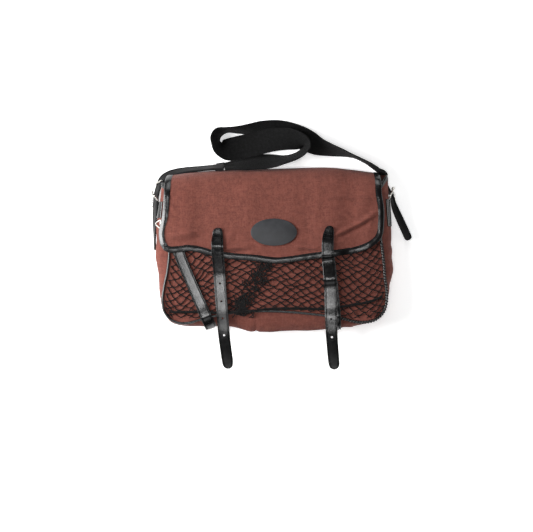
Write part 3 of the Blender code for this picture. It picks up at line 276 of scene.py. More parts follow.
# A binding's section at the gusset's rim: inward, outward
RIM_SECTION = (
    (7, 1.15), (5.4, 1.4), (2.5, 1.4), (0.6, 1.35), (-0.5, 0.95), (-0.9, 0), (-0.5, -0.95),
    (0.6, -1.35), (3, -1.4), (7, -1.3),
)
PATCH_CENTRE = Vector((0.3, 30, 0))
PATCH_HALF_X, PATCH_HALF_Y = 39, 23
# The patch's rim from its edge inward: inset, lift
PATCH_RIM = ((0.5, 0.2), (0.9, 0), (1.2, -1.1), (0.5, 0), (1, 0.9))
# A stitch along its length: share of it, then lift and thickness as shares of its radius
STITCH = (
    (-0.5, -0.25, 0.5), (-0.36, 0.4, 0.95), (0, 0.55, 1), (0.36, 0.4, 0.95), (0.5, -0.25, 0.5),
)

# Patterns of the finishes, in metres
CANVAS_THREAD = 0.0011
LEATHER_GRAIN = 0.0011
WEBBING_RIB = 0.0016
WEBBING_ROW = 0.0018
# The studio, in metres
CAMERA_DISTANCE = 5
FRAME_WIDTH = 0.8997
WORLD_LIGHT = 0.03
# Softboxes: place, size and power
SOFTBOXES = (
    ((-1.35, 0.12, 0.85), (0.8, 1.1), 50),
    ((2.4, 0, 0.65), (1, 1.6), 13),
    ((0, -2.6, 2.5), (2.4, 1.6), 14),
    ((0, 2.8, 1.8), (2.4, 1.6), 44),
    ((-0.28, -0.56, 7), (2.6, 0.92), 98),
)


# ---- curves and surfaces of the bag ----


def between(rows, index, share):
    """The smooth curve through rows of numbers, between one row and the next."""
    last = len(rows) - 1
    near = [rows[min(max(index + step, 0), last)] for step in (-1, 0, 1, 2)]
    square = share * share
    cube = square * share
    return tuple(0.5 * (2 * b + (c - a) * share + (2 * a - 5 * b + 4 * c - d) * square
                        + (3 * b - a - 3 * c + d) * cube) for a, b, c, d in zip(*near))


def dense_curve(rows, steps=CURVE_STEPS):
    curve = [between(rows, index, step / steps)
             for index in range(len(rows) - 1) for step in range(steps)]
    return [*curve, tuple(rows[-1])]


def distances(curve, axes=2):
    total = [0]
    for start, end in zip(curve, curve[1:]):
        total.append(total[-1] + math.dist(start[:axes], end[:axes]))
    return total


def row_at(curve, lengths, distance):
    high = min(max(bisect.bisect_right(lengths, distance), 1), len(curve) - 1)
    low = high - 1
    span = lengths[high] - lengths[low]
    share = min(max((distance - lengths[low]) / span, 0), 1) if span else 0
    return tuple(a + (b - a) * share for a, b in zip(curve[low], curve[high]))


def even_rows(curve, steps, axes=2):
    lengths = distances(curve, axes)
    return [row_at(curve, lengths, lengths[-1] * step / steps) for step in range(steps + 1)]


def table_value(table, column, x):
    for index, (start, end) in enumerate(zip(table, table[1:])):
        if x <= end[0]:
            return between(table, index, max(0, (x - start[0]) / (end[0] - start[0])))[column]
    return table[-1][column]


def ease(value, low, high):
    share = min(max((value - low) / (high - low), 0), 1)
    return share * share * (3 - 2 * share)


def hump(value, middle, half, power=4):
    """One at the middle, falling to nothing past the half width."""
    return math.exp(-((value - middle) / half) ** power)


def ripple(x, y, size, seed=0):
    """A smooth random height from -1 to 1, its waves about size across."""
    return noise.noise(Vector((x / size, y / size, seed)))


def dome(x, y, half_x, half_y):
    """The front's crown: one in its middle, nought beyond its half widths."""
    return max(0, 1 - (x / half_x) ** 2) * max(0, 1 - ((y - PANEL_MIDDLE_Y) / half_y) ** 2)


def panel_height(x, y):
    """The front panel's outer face as the frame has it."""
    return PANEL_RIM_Z + PANEL_CROWN * dome(x, y, 190, 112)


def front_height(x, y):
    """The front panel's face with its soft waves, still at its seams."""
    return panel_height(x, y) + 0.9 * min(dome(x, y, 186, 106) * 4, 1) * ripple(x, y, 34, 2)


def fold_height(folds, x, y):
    height = 0
    for middle_x, middle_y, angle, length, width, rise in folds:
        turn = math.radians(angle)
        along = ((x - middle_x) * math.cos(turn) + (y - middle_y) * math.sin(turn)) / length
        across = ((y - middle_y) * math.cos(turn) - (x - middle_x) * math.sin(turn)) / width
        if abs(along) < 2 and abs(across) < 3:
            height += rise * math.exp(-along ** 4 - across * across)
    return height


def flap_base(x, y):
    """The middle of the flap's cloth over the front, raised by what it covers, without folds."""
    covered = max(hump(x, -160, 26), hump(x, 92, 26), ease(abs(x), 135, 160))
    droop = 3 * max(0, (abs(x) - 182) / 12) ** 2
    return panel_height(x, y) + FLAP_OVER_FRONT + FLAP_OVER_STRAPS * covered - droop


def flap_fold(x, y):
    """The folds and waves of the flap, calm under the straps and the patch."""
    calm = 1 - 0.8 * hump(x, 0, 46) * hump(y, 30, 30)
    for strap_x in CLOSING_STRAPS_X:
        calm *= 1 - 0.85 * hump(x, strap_x, 13) * hump(y, 8, 34)
    waves = 0.9 * ripple(x, y, 60, 5) + 0.4 * ripple(x * 1.3, y, 22, 7)
    return calm * (fold_height(CREASES, x, y) + waves)


def flap_height(x, y):
    return flap_base(x, y) + flap_fold(x, y)


def curve_reader(curve):
    """A function from a share of a curve's length to its place there."""
    lengths = distances(curve)
    return lambda share: row_at(curve, lengths, lengths[-1] * share)[:2]


def place_inside(borders, u, v):
    """A point inside four border curves: left, right, top and bottom."""
    left, right, top, bottom = (reader(share) for reader, share in zip(borders, (v, v, u, u)))
    low_left, low_right, high_left, high_right = (
        borders[side](share) for share in (0, 1) for side in (0, 1))
    return tuple((1 - u) * left[k] + u * right[k] + (1 - v) * top[k] + v * bottom[k]
                 - ((1 - u) * (1 - v) * low_left[k] + u * (1 - v) * low_right[k]
                    + (1 - u) * v * high_left[k] + u * v * high_right[k]) for k in (0, 1))


SEAM_CURVE = dense_curve(SEAM)
SEAM_STATIONS = even_rows(SEAM_CURVE, 260)
FRONT_BORDERS = (
    curve_reader(SEAM_CURVE[:LEFT_CORNER + 1]), curve_reader(SEAM_CURVE[RIGHT_CORNER:][::-1]),
    curve_reader((SEAM_CURVE[0], SEAM_CURVE[-1])),
    curve_reader(SEAM_CURVE[LEFT_CORNER:RIGHT_CORNER + 1]),
)


def outward_at(index):
    before = SEAM_STATIONS[max(index - 1, 0)]
    after = SEAM_STATIONS[min(index + 1, len(SEAM_STATIONS) - 1)]
    run = Vector((after[0] - before[0], after[1] - before[1])).normalized()
    return Vector((run.y, -run.x, 0))


def gusset_place(index, height, bulge_share, tuck_share):
    """A place of the gusset below one station of the seam, from its shares in the profile."""
    x, y, bulge, tuck = SEAM_STATIONS[index]
    out = outward_at(index)
    share = max(0, (y - SIDE_START_Y) / SIDE_LENGTH)
    rim_lift, back_lift = (rise * share for rise in END_RISES[x > 0])
    reach = bulge * bulge_share - tuck * tuck_share
    lift = rim_lift * bulge_share + (back_lift - rim_lift) * tuck_share
    return x + out.x * reach, y + out.y * reach + lift, panel_height(x, y) * height


def gusset_profile(index, steps=22):
    """The gusset at one station of the seam, from the front seam down to the back seam."""
    x, y = SEAM_STATIONS[index][:2]
    out = outward_at(index)
    rows = [gusset_place(index, *shares) for shares in dense_curve(GUSSET, 6)]
    profile = [Vector(row) for row in even_rows(rows, steps, 3)]
    for k in range(1, steps):
        down = k / steps
        inner = math.sin(math.pi * down)
        push = 0.7 * inner * ripple(x * 1.2, y * 1.2, 26, down * 2)
        for fold_x, fold_y, width, middle, half, depth in GUSSET_FOLDS:
            along = math.dist((x, y), (fold_x, fold_y)) / width
            if along < 3:
                push -= depth * math.exp(-along * along) * hump(down, middle, half, 2) * inner
        profile[k] += out * push
    return profile


# ---- making meshes ----


def pick(*things):
    """Select these objects and no others, the first of them active."""
    for thing in list(bpy.context.selected_objects):
        thing.select_set(False)
    for thing in things:
        thing.select_set(True)
    if things:
        bpy.context.view_layer.objects.active = things[0]


def join_pieces(*things):
    pick(*things)
    bpy.ops.object.join()


def apply_modifier(thing, kind, **values):
    pick(thing)
    modifier = thing.modifiers.new(kind.lower(), kind)
    for key, value in values.items():
        setattr(modifier, key, value)
    bpy.ops.object.modifier_apply(modifier=modifier.name)


def edit_all(thing):
    """Open a mesh for editing with all of it selected."""
    pick(thing)
    bpy.ops.object.mode_set(mode="EDIT")
    bpy.ops.mesh.select_all(action="SELECT")


def mesh_piece(name, points, faces, uvs):
    """A mesh object at the origin, its points given in millimetres."""
    mesh = bpy.data.meshes.new(name)
    mesh.from_pydata([p * MM for p in points], [], faces)
    layer = mesh.uv_layers.new(name="cloth")
    for loop in mesh.loops:
        u, v = uvs[loop.vertex_index]
        layer.data[loop.index].uv = (u * MM, v * MM)
    thing = bpy.data.objects.new(name, mesh)
    bpy.context.collection.objects.link(thing)
    return thing


def turn_outward(thing):
    edit_all(thing)
    bpy.ops.mesh.remove_doubles(threshold=0.000005)
    bpy.ops.mesh.normals_make_consistent(inside=False)
    bpy.ops.object.mode_set(mode="OBJECT")


def cloth_sheet(name, rows, thickness, side, upward=None):
    """Cloth through rows of points, with UVs along its own surface, given its thickness."""
    rows = [[Vector(p) for p in row] for row in rows]
    columns = len(rows[0])
    middle_row, middle_column = len(rows) // 2, columns // 2
    across = distances(rows[middle_row], 3)
    down = distances([row[middle_column] for row in rows], 3)
    faces = [(a, a + columns, a + columns + 1, a + 1)
             for i in range(len(rows) - 1) for a in range(i * columns, (i + 1) * columns - 1)]
    points = [p for row in rows for p in row]
    thing = mesh_piece(name, points, faces, [(u, v) for v in down for u in across])
    face = thing.data.polygons[middle_row * (columns - 1) + middle_column]
    if upward and face.normal.dot(upward) < 0:
        edit_all(thing)
        bpy.ops.mesh.flip_normals()
        bpy.ops.object.mode_set(mode="OBJECT")
    apply_modifier(thing, "SOLIDIFY", thickness=thickness * MM, offset=side, use_even_offset=True)
    return thing


def turned(side, run, turn):
    """A direction square to a run, turned about it."""
    return side * math.cos(turn) + side.cross(run) * math.sin(turn)


class Cords:
    """Round cords gathered in one mesh, each from a list of points."""

    def __init__(self):
        self.points, self.faces, self.uvs = [], [], []

    def add(self, path, radius, sides=6):
        """A tube along path; radius is one number, or one for each point."""
        path = [Vector(p) for p in path]
        last = len(path) - 1
        radii = radius if isinstance(radius, list) else [radius] * len(path)
        run = path[1] - path[0]
        side = run.cross(UP)
        if side.length < 0.1 * run.length:
            side = run.cross(Vector((1, 0, 0)))
        first = len(self.points)
        for index, (place, along) in enumerate(zip(path, distances(path, 3))):
            ahead = (path[min(index + 1, last)] - path[max(index - 1, 0)]).normalized()
            side = (side - ahead * side.dot(ahead)).normalized()
            for k in range(sides):
                spoke = turned(side, ahead, 2 * math.pi * k / sides)
                self.points.append(place + spoke * radii[index])
                self.uvs.append((k / sides, along))
        for ring in range(first, first + last * sides, sides):
            for k in range(sides):
                a, b = ring + k, ring + (k + 1) % sides
                self.faces.append((a, a + sides, b + sides, b))
        end = first + last * sides
        self.faces.append(tuple(range(first, first + sides)))
        self.faces.append(tuple(range(end, end + sides))[::-1])

    def make(self, name, finish, *nodes):
        thing = mesh_piece(name, self.points, self.faces, self.uvs)
        return dress(thing, finish, *nodes, angle=80)


def stitches(cords, path, normals, length, gap, radius):
    """Thread along a path: short stitches lying on the leather, their ends sunk in it."""
    lengths = distances(path, 3)
    rows = [(*p, *n) for p, n in zip(path, normals)]
    count = max(1, round(lengths[-1] / (length + gap)))
    pitch = lengths[-1] / count
    for index in range(count):
        places = []
        for share, lift, _ in STITCH:
            distance = (index + 0.5) * pitch + share * length * pitch / (length + gap)
            row = row_at(rows, lengths, distance)
            places.append(Vector(row[:3]) + Vector(row[3:]).normalized() * (lift * radius))
        cords.add(places, [radius * swell for _, _, swell in STITCH])


# ---- finishes ----


def rgba(value):
    """A colour with its alpha; another node's socket stays as it is."""
    return (*value, 1) if isinstance(value, tuple) else value


class Finish:
    """A node material, with short words for its nodes."""

    def __init__(self, name, colour, roughness, **values):
        self.made = bpy.data.materials.new(name)
        self.made.use_nodes = True
        self.tree = self.made.node_tree
        self.shader = self.tree.nodes["Principled BSDF"]
        self.feed(self.shader, Base_Color=rgba(colour), Roughness=roughness, **values)
        places = self.tree.nodes.new("ShaderNodeTexCoord").outputs
        self.uv, self.place = places["UV"], places["Object"]

    def feed(self, node, **inputs):
        """Give a node's inputs a value or another node's socket, by name or as i and a number."""
        for key, value in inputs.items():
            socket = node.inputs[int(key[1:]) if key[1:].isdigit() else key.replace("_", " ")]
            if isinstance(value, bpy.types.NodeSocket):
                self.tree.links.new(value, socket)
            else:
                socket.default_value = value

    def put(self, kind, settings=None, **inputs):
        made = self.tree.nodes.new(kind)
        for key, value in (settings or {}).items():
            setattr(made, key, value)
        self.feed(made, **inputs)
        return made.outputs

    def maths(self, operation, first, second=0):
        return self.put("ShaderNodeMath", {"operation": operation}, i0=first, i1=second)[0]

    def times(self, first, second):
        return self.maths("MULTIPLY", first, second)

    def plus(self, first, second):
        return self.maths("ADD", first, second)

    def sine(self, value, pitch):
        """A wave over a length."""
        return self.maths("SINE", self.times(value, 2 * math.pi / pitch))

    def noise(self, place, scale, detail=3, roughness=0.6, stretch=(1, 1, 1)):
        mapped = self.put("ShaderNodeMapping", Vector=place, Scale=[scale * s for s in stretch])
        return self.put("ShaderNodeTexNoise", Vector=mapped[0], Scale=1, Detail=detail,
                        Roughness=roughness)["Fac"]

    def levels(self, value, low, high, to_low=0, to_high=1):
        return self.put("ShaderNodeMapRange", Value=value, From_Min=low, From_Max=high,
                        To_Min=to_low, To_Max=to_high)[0]

    def ramp(self, value, *stops):
        ramp = self.tree.nodes.new("ShaderNodeValToRGB")
        self.feed(ramp, i0=value)
        band = ramp.color_ramp.elements
        while len(band) < len(stops):
            band.new(0.5)
        for element, (place, colour) in zip(band, stops):
            element.position = place
            element.color = rgba(colour)
        return ramp.outputs[0]

    def tint(self, tone, colour, by, low, high, most):
        """Mix a colour into a tone, from none to most as a value rises from low to high."""
        share = self.levels(by, low, high, 0, most)
        return self.put("ShaderNodeMix", {"data_type": "RGBA"}, i0=share, i6=rgba(tone),
                        i7=rgba(colour))[2]

    def relief(self, height, distance, strength, after=None):
        under = {"Normal": after} if after else {}
        bump = self.put("ShaderNodeBump", Height=height, Distance=distance, Strength=strength,
                        **under)[0]
        self.feed(self.shader, Normal=bump)
        return bump


def canvas_finish():
    """Red-brown waxed canvas: crossed threads, slubs and random darker and lighter blotches."""
    cloth = Finish("canvas", (0.172, 0.056, 0.041), 0.85, Sheen_Weight=0.08, Sheen_Roughness=0.5,
                   Specular_IOR_Level=0.2)
    split = cloth.put("ShaderNodeSeparateXYZ", Vector=cloth.uv)
    weave = cloth.times(cloth.sine(split[0], CANVAS_THREAD), cloth.sine(split[1], CANVAS_THREAD))
    slub = cloth.plus(cloth.times(cloth.noise(cloth.uv, 1, 3, 0.6, (900, 28, 1)), 0.5),
                      cloth.times(cloth.noise(cloth.uv, 1, 3, 0.6, (28, 900, 1)), 0.5))
    tone = cloth.ramp(slub, (0.32, (0.094, 0.025, 0.0175)), (0.5, (0.168, 0.049, 0.035)),
                      (0.68, (0.258, 0.083, 0.0605)))
    cloud = cloth.noise(cloth.place, 24, 4)
    fleck = cloth.noise(cloth.place, 420, 2, 0.5)
    mottle = cloth.noise(cloth.place, 120, 3, 0.65)
    tone = cloth.tint(tone, (0.112, 0.0325, 0.023), cloud, 0.3, 0.7, 0.45)
    tone = cloth.tint(tone, (0.104, 0.0305, 0.0222), mottle, 0.4, 0.6, 0.8)
    tone = cloth.tint(tone, (0.225, 0.076, 0.057), fleck, 0.35, 0.7, 0.4)
    tone = cloth.tint(tone, (0.07, 0.02, 0.014), weave, -1, 1, 0.28)
    cloth.feed(cloth.shader, Base_Color=tone)
    cloth.relief(cloth.plus(cloth.times(weave, 0.5), cloth.times(slub, 1.6)), 0.00022, 0.7)
    return cloth.made


def leather_finish(name, dark, light, roughness, gloss_spread, gloss):
    """Smooth finished leather: fine pebbled grain, soft creases, uneven polish."""
    hide = Finish(name, dark, roughness, Specular_IOR_Level=gloss)
    cells = hide.put("ShaderNodeTexVoronoi", {"feature": "DISTANCE_TO_EDGE"}, Vector=hide.place,
                     Scale=1 / LEATHER_GRAIN, Randomness=1)[0]
    pores = hide.noise(hide.place, 1.6 / LEATHER_GRAIN)
    creases = hide.noise(hide.place, 210, 4, 0.65)
    polish = hide.noise(hide.place, 46)
    rough = hide.levels(hide.plus(hide.times(polish, 0.7), hide.times(creases, 0.3)), 0.3, 0.7,
                        roughness - gloss_spread, roughness + gloss_spread)
    hide.feed(hide.shader, Base_Color=hide.tint(dark, light, polish, 0.35, 0.7, 1), Roughness=rough)
    soft = hide.relief(creases, 0.0004, 0.22)
    fine = hide.plus(hide.maths("MINIMUM", hide.times(cells, 6), 1), hide.times(pores, 0.5))
    hide.relief(fine, 0.00005, 0.3, soft)
    return hide.made


def webbing_finish():
    """Black woven webbing: close ribs across, crossed by the slanting rows of the weft."""
    web = Finish("webbing", (0.0024, 0.0024, 0.0025), 0.85, Sheen_Weight=0.01,
                 Specular_IOR_Level=0.15)
    split = web.put("ShaderNodeSeparateXYZ", Vector=web.uv)
    slant = web.times(web.maths("PINGPONG", split[0], 2 * WEBBING_RIB), 2 * math.pi / WEBBING_ROW)
    along = web.plus(web.times(split[1], 2 * math.pi / WEBBING_ROW), slant)
    weave = web.plus(web.times(web.sine(split[0], WEBBING_RIB), 0.35),
                     web.times(web.maths("SINE", along), 0.65))
    fuzz = web.noise(web.uv, 900)
    wear = web.noise(web.uv, 240, 4, 0.7)
    # Painted highlight and painted shade of the weave: the ribs' crests are made lighter and the
    # hollows between them darker.
    tone = web.ramp(web.levels(weave, -1, 1), (0, (0.001, 0.001, 0.001)),
                    (0.6, (0.0024, 0.0024, 0.0025)), (1, (0.006, 0.006, 0.0063)))
    tone = web.tint(tone, (0.008, 0.008, 0.0083), fuzz, 0.45, 0.75, 0.5)
    tone = web.tint(tone, (0.011, 0.011, 0.0114), wear, 0.42, 0.7, 0.7)
    web.feed(web.shader, Base_Color=tone)
    web.relief(web.plus(weave, web.times(fuzz, 0.6)), 0.00035, 0.8)
    return web.made


def cord_finish(name, colour, light, roughness, turn=0.0022):
    """Twisted cord: strands slanting round it."""
    cord = Finish(name, colour, roughness, Specular_IOR_Level=0.2)
    split = cord.put("ShaderNodeSeparateXYZ", Vector=cord.uv)
    round_it = cord.times(split[0], 4 * math.pi / MM)
    twist = cord.maths("SINE", cord.plus(round_it, cord.times(split[1], 2 * math.pi / turn)))
    # Painted highlight and painted shade of the twist: the strands' crests are made lighter and the
    # grooves between them darker.
    tone = cord.ramp(cord.levels(twist, -1, 1), (0, tuple(c * 0.5 for c in colour)),
                     (0.5, colour), (1, light))
    cord.feed(cord.shader, Base_Color=tone)
    cord.relief(twist, 0.0002, 0.6)
    return cord.made


def nickel_finish():
    """Bright nickel plate with fine rub marks."""
    plate = Finish("nickel", (0.74, 0.72, 0.67), 0.2, Metallic=1)
    rub = plate.noise(plate.place, 700, stretch=(1, 0.2, 1))
    dull = plate.noise(plate.place, 160)
    tone = plate.tint((0.76, 0.74, 0.69), (0.56, 0.54, 0.5), dull, 0.4, 0.75, 0.5)
    plate.feed(plate.shader, Base_Color=tone, Roughness=plate.levels(dull, 0.35, 0.7, 0.14, 0.34))
    plate.relief(rub, 0.00005, 0.3)
    return plate.made


def floor_finish():
    """Plain pale paper, a little lit from within so that it stays white."""
    paper = Finish("pale_floor", (0.93, 0.93, 0.93), 0.9, Specular_IOR_Level=0.1,
                   Emission_Color=(1, 1, 1, 1), Emission_Strength=0.45)
    grain = paper.noise(paper.place, 60, 3, 0.5)
    tone = paper.tint((0.93, 0.93, 0.93), (0.92, 0.92, 0.92), grain, 0.3, 0.7, 1)
    paper.feed(paper.shader, Base_Color=tone)
    return paper.made


FINISHES = {
    "canvas": canvas_finish(),
    "leather": leather_finish("leather", (0.0022, 0.0022, 0.0024), (0.0055, 0.0055, 0.0058),
                              0.19, 0.06, 0.58),
    "trim": leather_finish("trim", (0.0024, 0.0024, 0.0026), (0.006, 0.006, 0.0063),
                           0.24, 0.06, 0.5),
    "strap_end": leather_finish("strap_end", (0.004, 0.004, 0.0042), (0.009, 0.009, 0.0094),
                                0.5, 0.08, 0.1),
    "patch": leather_finish("patch", (0.013, 0.0134, 0.0155), (0.0245, 0.0254, 0.029),
                            0.46, 0.08, 0.42),
    "net": cord_finish("net", (0.0035, 0.0033, 0.0032), (0.009, 0.0085, 0.0085), 0.75),
    "thread": cord_finish("thread", (0.008, 0.008, 0.0085), (0.026, 0.026, 0.027), 0.5, 0.0009),
    "webbing": webbing_finish(),
    "nickel": nickel_finish(),
}


def dress(thing, finish, *nodes, angle=40):
    """Give a piece its finish and smooth faces, attach it to the root body and hide the parts it
    stands for.
    """
    thing.data.materials.clear()
    thing.data.materials.append(FINISHES[finish])
    pick(thing)
    bpy.ops.object.shade_smooth_by_angle(angle=math.radians(angle))
    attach(thing, "root")
    if nodes:
        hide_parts(*nodes)
    return thing


# ---- the canvas shell ----


def make_shell():
    """The gusset round three sides, the front panel and the back panel."""
    rows = [gusset_profile(index) for index in range(len(SEAM_STATIONS))]
    gusset = cloth_sheet("gusset", rows, CANVAS, -1, Vector((0, -1, 0)))
    dress(gusset, "canvas", "bag_body")

    plan = [[place_inside(FRONT_BORDERS, j / 150, i / 90) for j in range(151)] for i in range(91)]
    front = [[(x, y, front_height(x, y)) for x, y in row] for row in plan]
    panel = cloth_sheet("front_panel", front, CANVAS, -1, UP)
    dress(panel, "canvas", "bag_body")

    edge = [tuple(row[-1]) for row in rows]
    top = [edge[0][0] + (edge[-1][0] - edge[0][0]) * k / 40 for k in range(41)]
    borders = (curve_reader(edge[:BACK_LEFT + 1]), curve_reader(edge[BACK_RIGHT:][::-1]),
               curve_reader([(x, table_value(TOP, 1, x)) for x in top]),
               curve_reader(edge[BACK_LEFT:BACK_RIGHT + 1]))
    back = [[(*place_inside(borders, j / 60, i / 40), 0) for j in range(61)] for i in range(41)]
    panel = cloth_sheet("back_panel", back, CANVAS, -1, -UP)
    dress(panel, "canvas", "bag_body")
    return rows


def flap_line(u, borders, rows):
    """The middle of the flap's cloth from the hinge to the hem, at one share across."""
    line = []
    for forward, reach, rise in FOLD:
        spread = rise ** 0.7
        left = -HINGE_HALF_WIDTH + (FLAP_LEFT[0][0] + HINGE_HALF_WIDTH) * spread
        right = HINGE_HALF_WIDTH + (FLAP_RIGHT[0][0] - HINGE_HALF_WIDTH) * spread
        x = left + (right - left) * u
        back = table_value(TOP, 1, x) + HINGE_GAP
        y = back + reach * (table_value(TOP, 2, x) - back) - forward
        line.append((x, y, HINGE_Z + rise * (flap_base(x, TURN_Y) - HINGE_Z)))
    for i in range(10):
        x, y = place_inside(borders, u, i / 9)
        line.append((x, y, flap_base(x, y)))
    return even_rows(dense_curve(line, 8), rows, 3)


def flap_surface(columns=170, rows=120):
    """The middle of the flap's folded cloth, row by row from the hinge to the hem."""
    borders = (curve_reader(dense_curve(FLAP_LEFT)), curve_reader(dense_curve(FLAP_RIGHT)),
               curve_reader((FLAP_LEFT[0], FLAP_RIGHT[0])), curve_reader(dense_curve(FLAP_HEM)))
    lines = [flap_line(j / columns, borders, rows) for j in range(columns + 1)]
    surface = [[Vector(line[i]) for line in lines] for i in range(rows + 1)]
    for row in surface:
        for place in row:
            if place.z > 12:
                loose = ease(place.z, 12, 40)
                place.z += loose * flap_fold(place.x, place.y)
                place.y += 0.8 * loose * ease(place.y, 100, 125) * ripple(place.x, 0, 30, 3)
    return surface


def surface_normal(surface, i, j):
    down = surface[min(i + 1, len(surface) - 1)][j] - surface[max(i - 1, 0)][j]
    across = surface[i][min(j + 1, len(surface[0]) - 1)] - surface[i][max(j - 1, 0)]
    return down.cross(across).normalized()


def make_flap():
    surface = flap_surface()
    flap = cloth_sheet("flap_canvas", surface, CANVAS, 0, UP)
    dress(flap, "canvas", "flap")
    return surface


def make_binding(name, node, rows, seam, normals, threads):
    """A leather channel through rows of its section, and its row of stitches."""
    binding = cloth_sheet(name, rows, BINDING, 0)
    turn_outward(binding)
    dress(binding, "trim", node, angle=60)
    stitches(threads, seam, normals, *BINDING_THREAD)


def make_flap_binding(surface, threads):
    """Leather folded round the flap's sides and hem."""
    rows, columns = len(surface) - 1, len(surface[0]) - 1
    border = [(i, 0) for i in range(BINDING_START, rows + 1)]
    border += [(rows, j) for j in range(1, columns + 1)]
    border += [(i, columns) for i in range(rows - 1, BINDING_START - 1, -1)]
    turns = [math.pi * k / 6 for k in range(7)]
    section = [(9, 1), (7.6, 1.4), (6.2, 1.72), (4.8, 1.85), (3.2, 1.75), (1.6, 1.5)]
    section += [(-1.15 * math.sin(turn), 1.35 * math.cos(turn)) for turn in turns]
    section += [(1, -1.3), (2.6, -1.3), (5, -1.3), (9, -1.3)]
    path = [surface[i][j] for i, j in border]
    sheet_rows, seam, normals = [], [], []
    for index, (i, j) in enumerate(border):
        middle = path[index]
        run = (path[min(index + 2, len(path) - 1)] - path[max(index - 2, 0)]).normalized()
        face = surface_normal(surface, i, j)
        inward = face.cross(run)
        if inward.dot(FLAP_MIDDLE - middle) < 0:
            inward.negate()
        inward = (inward - run * inward.dot(run)).normalized()
        up = run.cross(inward)
        if up.dot(face) < 0:
            up.negate()
        pucker = 0.35 * ripple(index * 2.3, 0, 9, 11)
        swell = 0.22 * ripple(index * 2.3, 0, 14, 13)
        sheet_rows.append([middle + inward * (a + (pucker if a > 7 else 0))
                           + up * (b + (swell if b > 0.5 else 0)) for a, b in section])
        seam.append(middle + inward * 7.2 + up * (2 + swell))
        normals.append(up)
    make_binding("flap_edging", "flap_binding", sheet_rows, seam, normals, threads)


def make_rim_bindings(gusset_rows, threads):
    """Leather folded over the upper part of the gusset's two open ends."""
    for name, end, step in (("left", 0, 1), ("right", -1, -1)):
        rim = gusset_rows[end]
        inner = gusset_rows[end + 3 * step]
        rows, seam, normals = [], [], []
        for k in range(1, 14):
            run = (rim[k + 1] - rim[k - 1]).normalized()
            inward = (inner[k] - rim[k]).normalized()
            out = run.cross(inward).normalized()
            if out.x * rim[k].x < 0:
                out.negate()
            middle = rim[k] - out * CANVAS / 2
            rows.append([middle + inward * a + out * b for a, b in RIM_SECTION])
            seam.append(middle + inward * 5.2 + out * 1.9)
            normals.append(out)
        make_binding("gusset_edging_" + name, "gusset_binding_" + name, rows, seam, normals,
                     threads)


def make_piping():
    """The leather welt of the front seam."""
    path = []
    for index in range(2, len(SEAM_STATIONS) - 2):
        x, y = SEAM_STATIONS[index][:2]
        out = outward_at(index) * WELT_OFFSET
        path.append(Vector((x + out.x, y + out.y, panel_height(x, y) + WELT_OFFSET)))
    welt = Cords()
    welt.add(path, [WELT_RADIUS + 0.12 * ripple(i, 0, 4, 1) for i in range(len(path))], 12)
    welt.make("front_welt", "trim", "front_piping")
    return path


# ---- the net over the front ----


def gather_x(y):
    """Where the gather crosses a height of the front."""
    for (first_x, first_y), (second_x, second_y) in zip(GATHER, GATHER[1:]):
        if y >= second_y:
            share = max(0, (first_y - y) / (first_y - second_y))
            return first_x + (second_x - first_x) * share
    return GATHER[-1][0]


def over_front(x, y, lift):
    """A point lifted over the front, and past the lower seam down on to the gusset."""
    past = max(0, LOWER_SEAM_Y - y)
    drop = 1.4 - 0.022 * past * past if past else 0
    return Vector((x, y, front_height(x, max(y, LOWER_SEAM_Y)) + lift + drop))


def net_place(i, j):
    """A knot's place: an even lattice pulled to the gather and slack in between."""
    u = 0.012 + 0.976 * i / NET_COLUMNS
    x, y = place_inside(FRONT_BORDERS, u, 0.37 + 0.615 * j / NET_ROWS)
    still = min(1, 9 * u, 9 * (1 - u), 5 * (NET_ROWS - j) / NET_ROWS)
    away = x - gather_x(y)
    x -= 0.42 * away * hump(away, 0, 27, 2) * ease(y, -112, -90)
    slack_left = ease(-x, 40, 110)
    x += still * (4 * ripple(x, y, 30, 21) + 3.4 * ripple(x, y, 9, 22))
    y += still * (5.4 * ripple(x, y, 30, 23) + 3 * ripple(x, y, 9, 24))
    y += still * slack_left * 6 * ripple(x * 0.45, y * 1.6, 17, 25)
    return x, y


def make_net():
    slack = random.Random(NET_SEED)
    cords = Cords()
    knots = {(i, j): net_place(i + 0.5 * (j % 2), j)
             for j in range(NET_ROWS + 1) for i in range(NET_COLUMNS + 1 - j % 2)}
    for (i, j), (x, y) in knots.items():
        for step in (0, 1):
            key = (i - 1 + step + j % 2, j + 1)
            if key not in knots:
                continue
            end_x, end_y = knots[key]
            sag, swing = slack.uniform(0.2, 2.4), slack.uniform(-0.9, 0.9)
            lift = slack.uniform(0, 0.9)
            path = []
            for share in (0, 0.2, 0.4, 0.6, 0.8, 1):
                curve = math.sin(math.pi * share)
                path.append(over_front(x + (end_x - x) * share + swing * curve,
                                       y + (end_y - y) * share - sag * curve,
                                       1 + NET_CORD * 0.4 + lift * curve))
            cords.add(path, NET_CORD * slack.uniform(0.9, 1.12), 5)
    for x, y in knots.values():
        turn = slack.uniform(0, math.pi)
        reach = Vector((math.cos(turn), math.sin(turn), 0)) * 1.35
        middle = over_front(x, y, 1.5)
        knot = [middle + reach * share for share in (-1, -0.4, 0.4, 1)]
        cords.add(knot, [0.45, 1.12, 1.12, 0.45])
    cords.make("net_cords", "net", "net")


def loose_length(tangled, x, y, heading, bend, waver, step_length):
    """One loose length of the net's cord, wandering over the front from a place."""
    path = []
    for step in range(11):
        heading += tangled.uniform(-waver, waver) + bend
        x += step_length * math.cos(heading)
        y = max(y + step_length * math.sin(heading), -119)
        path.append(over_front(x, y, 1.6 + 2.4 * abs(ripple(step, x + y, 2.3, 31))))
    return dense_curve([tuple(place) for place in path], 3)


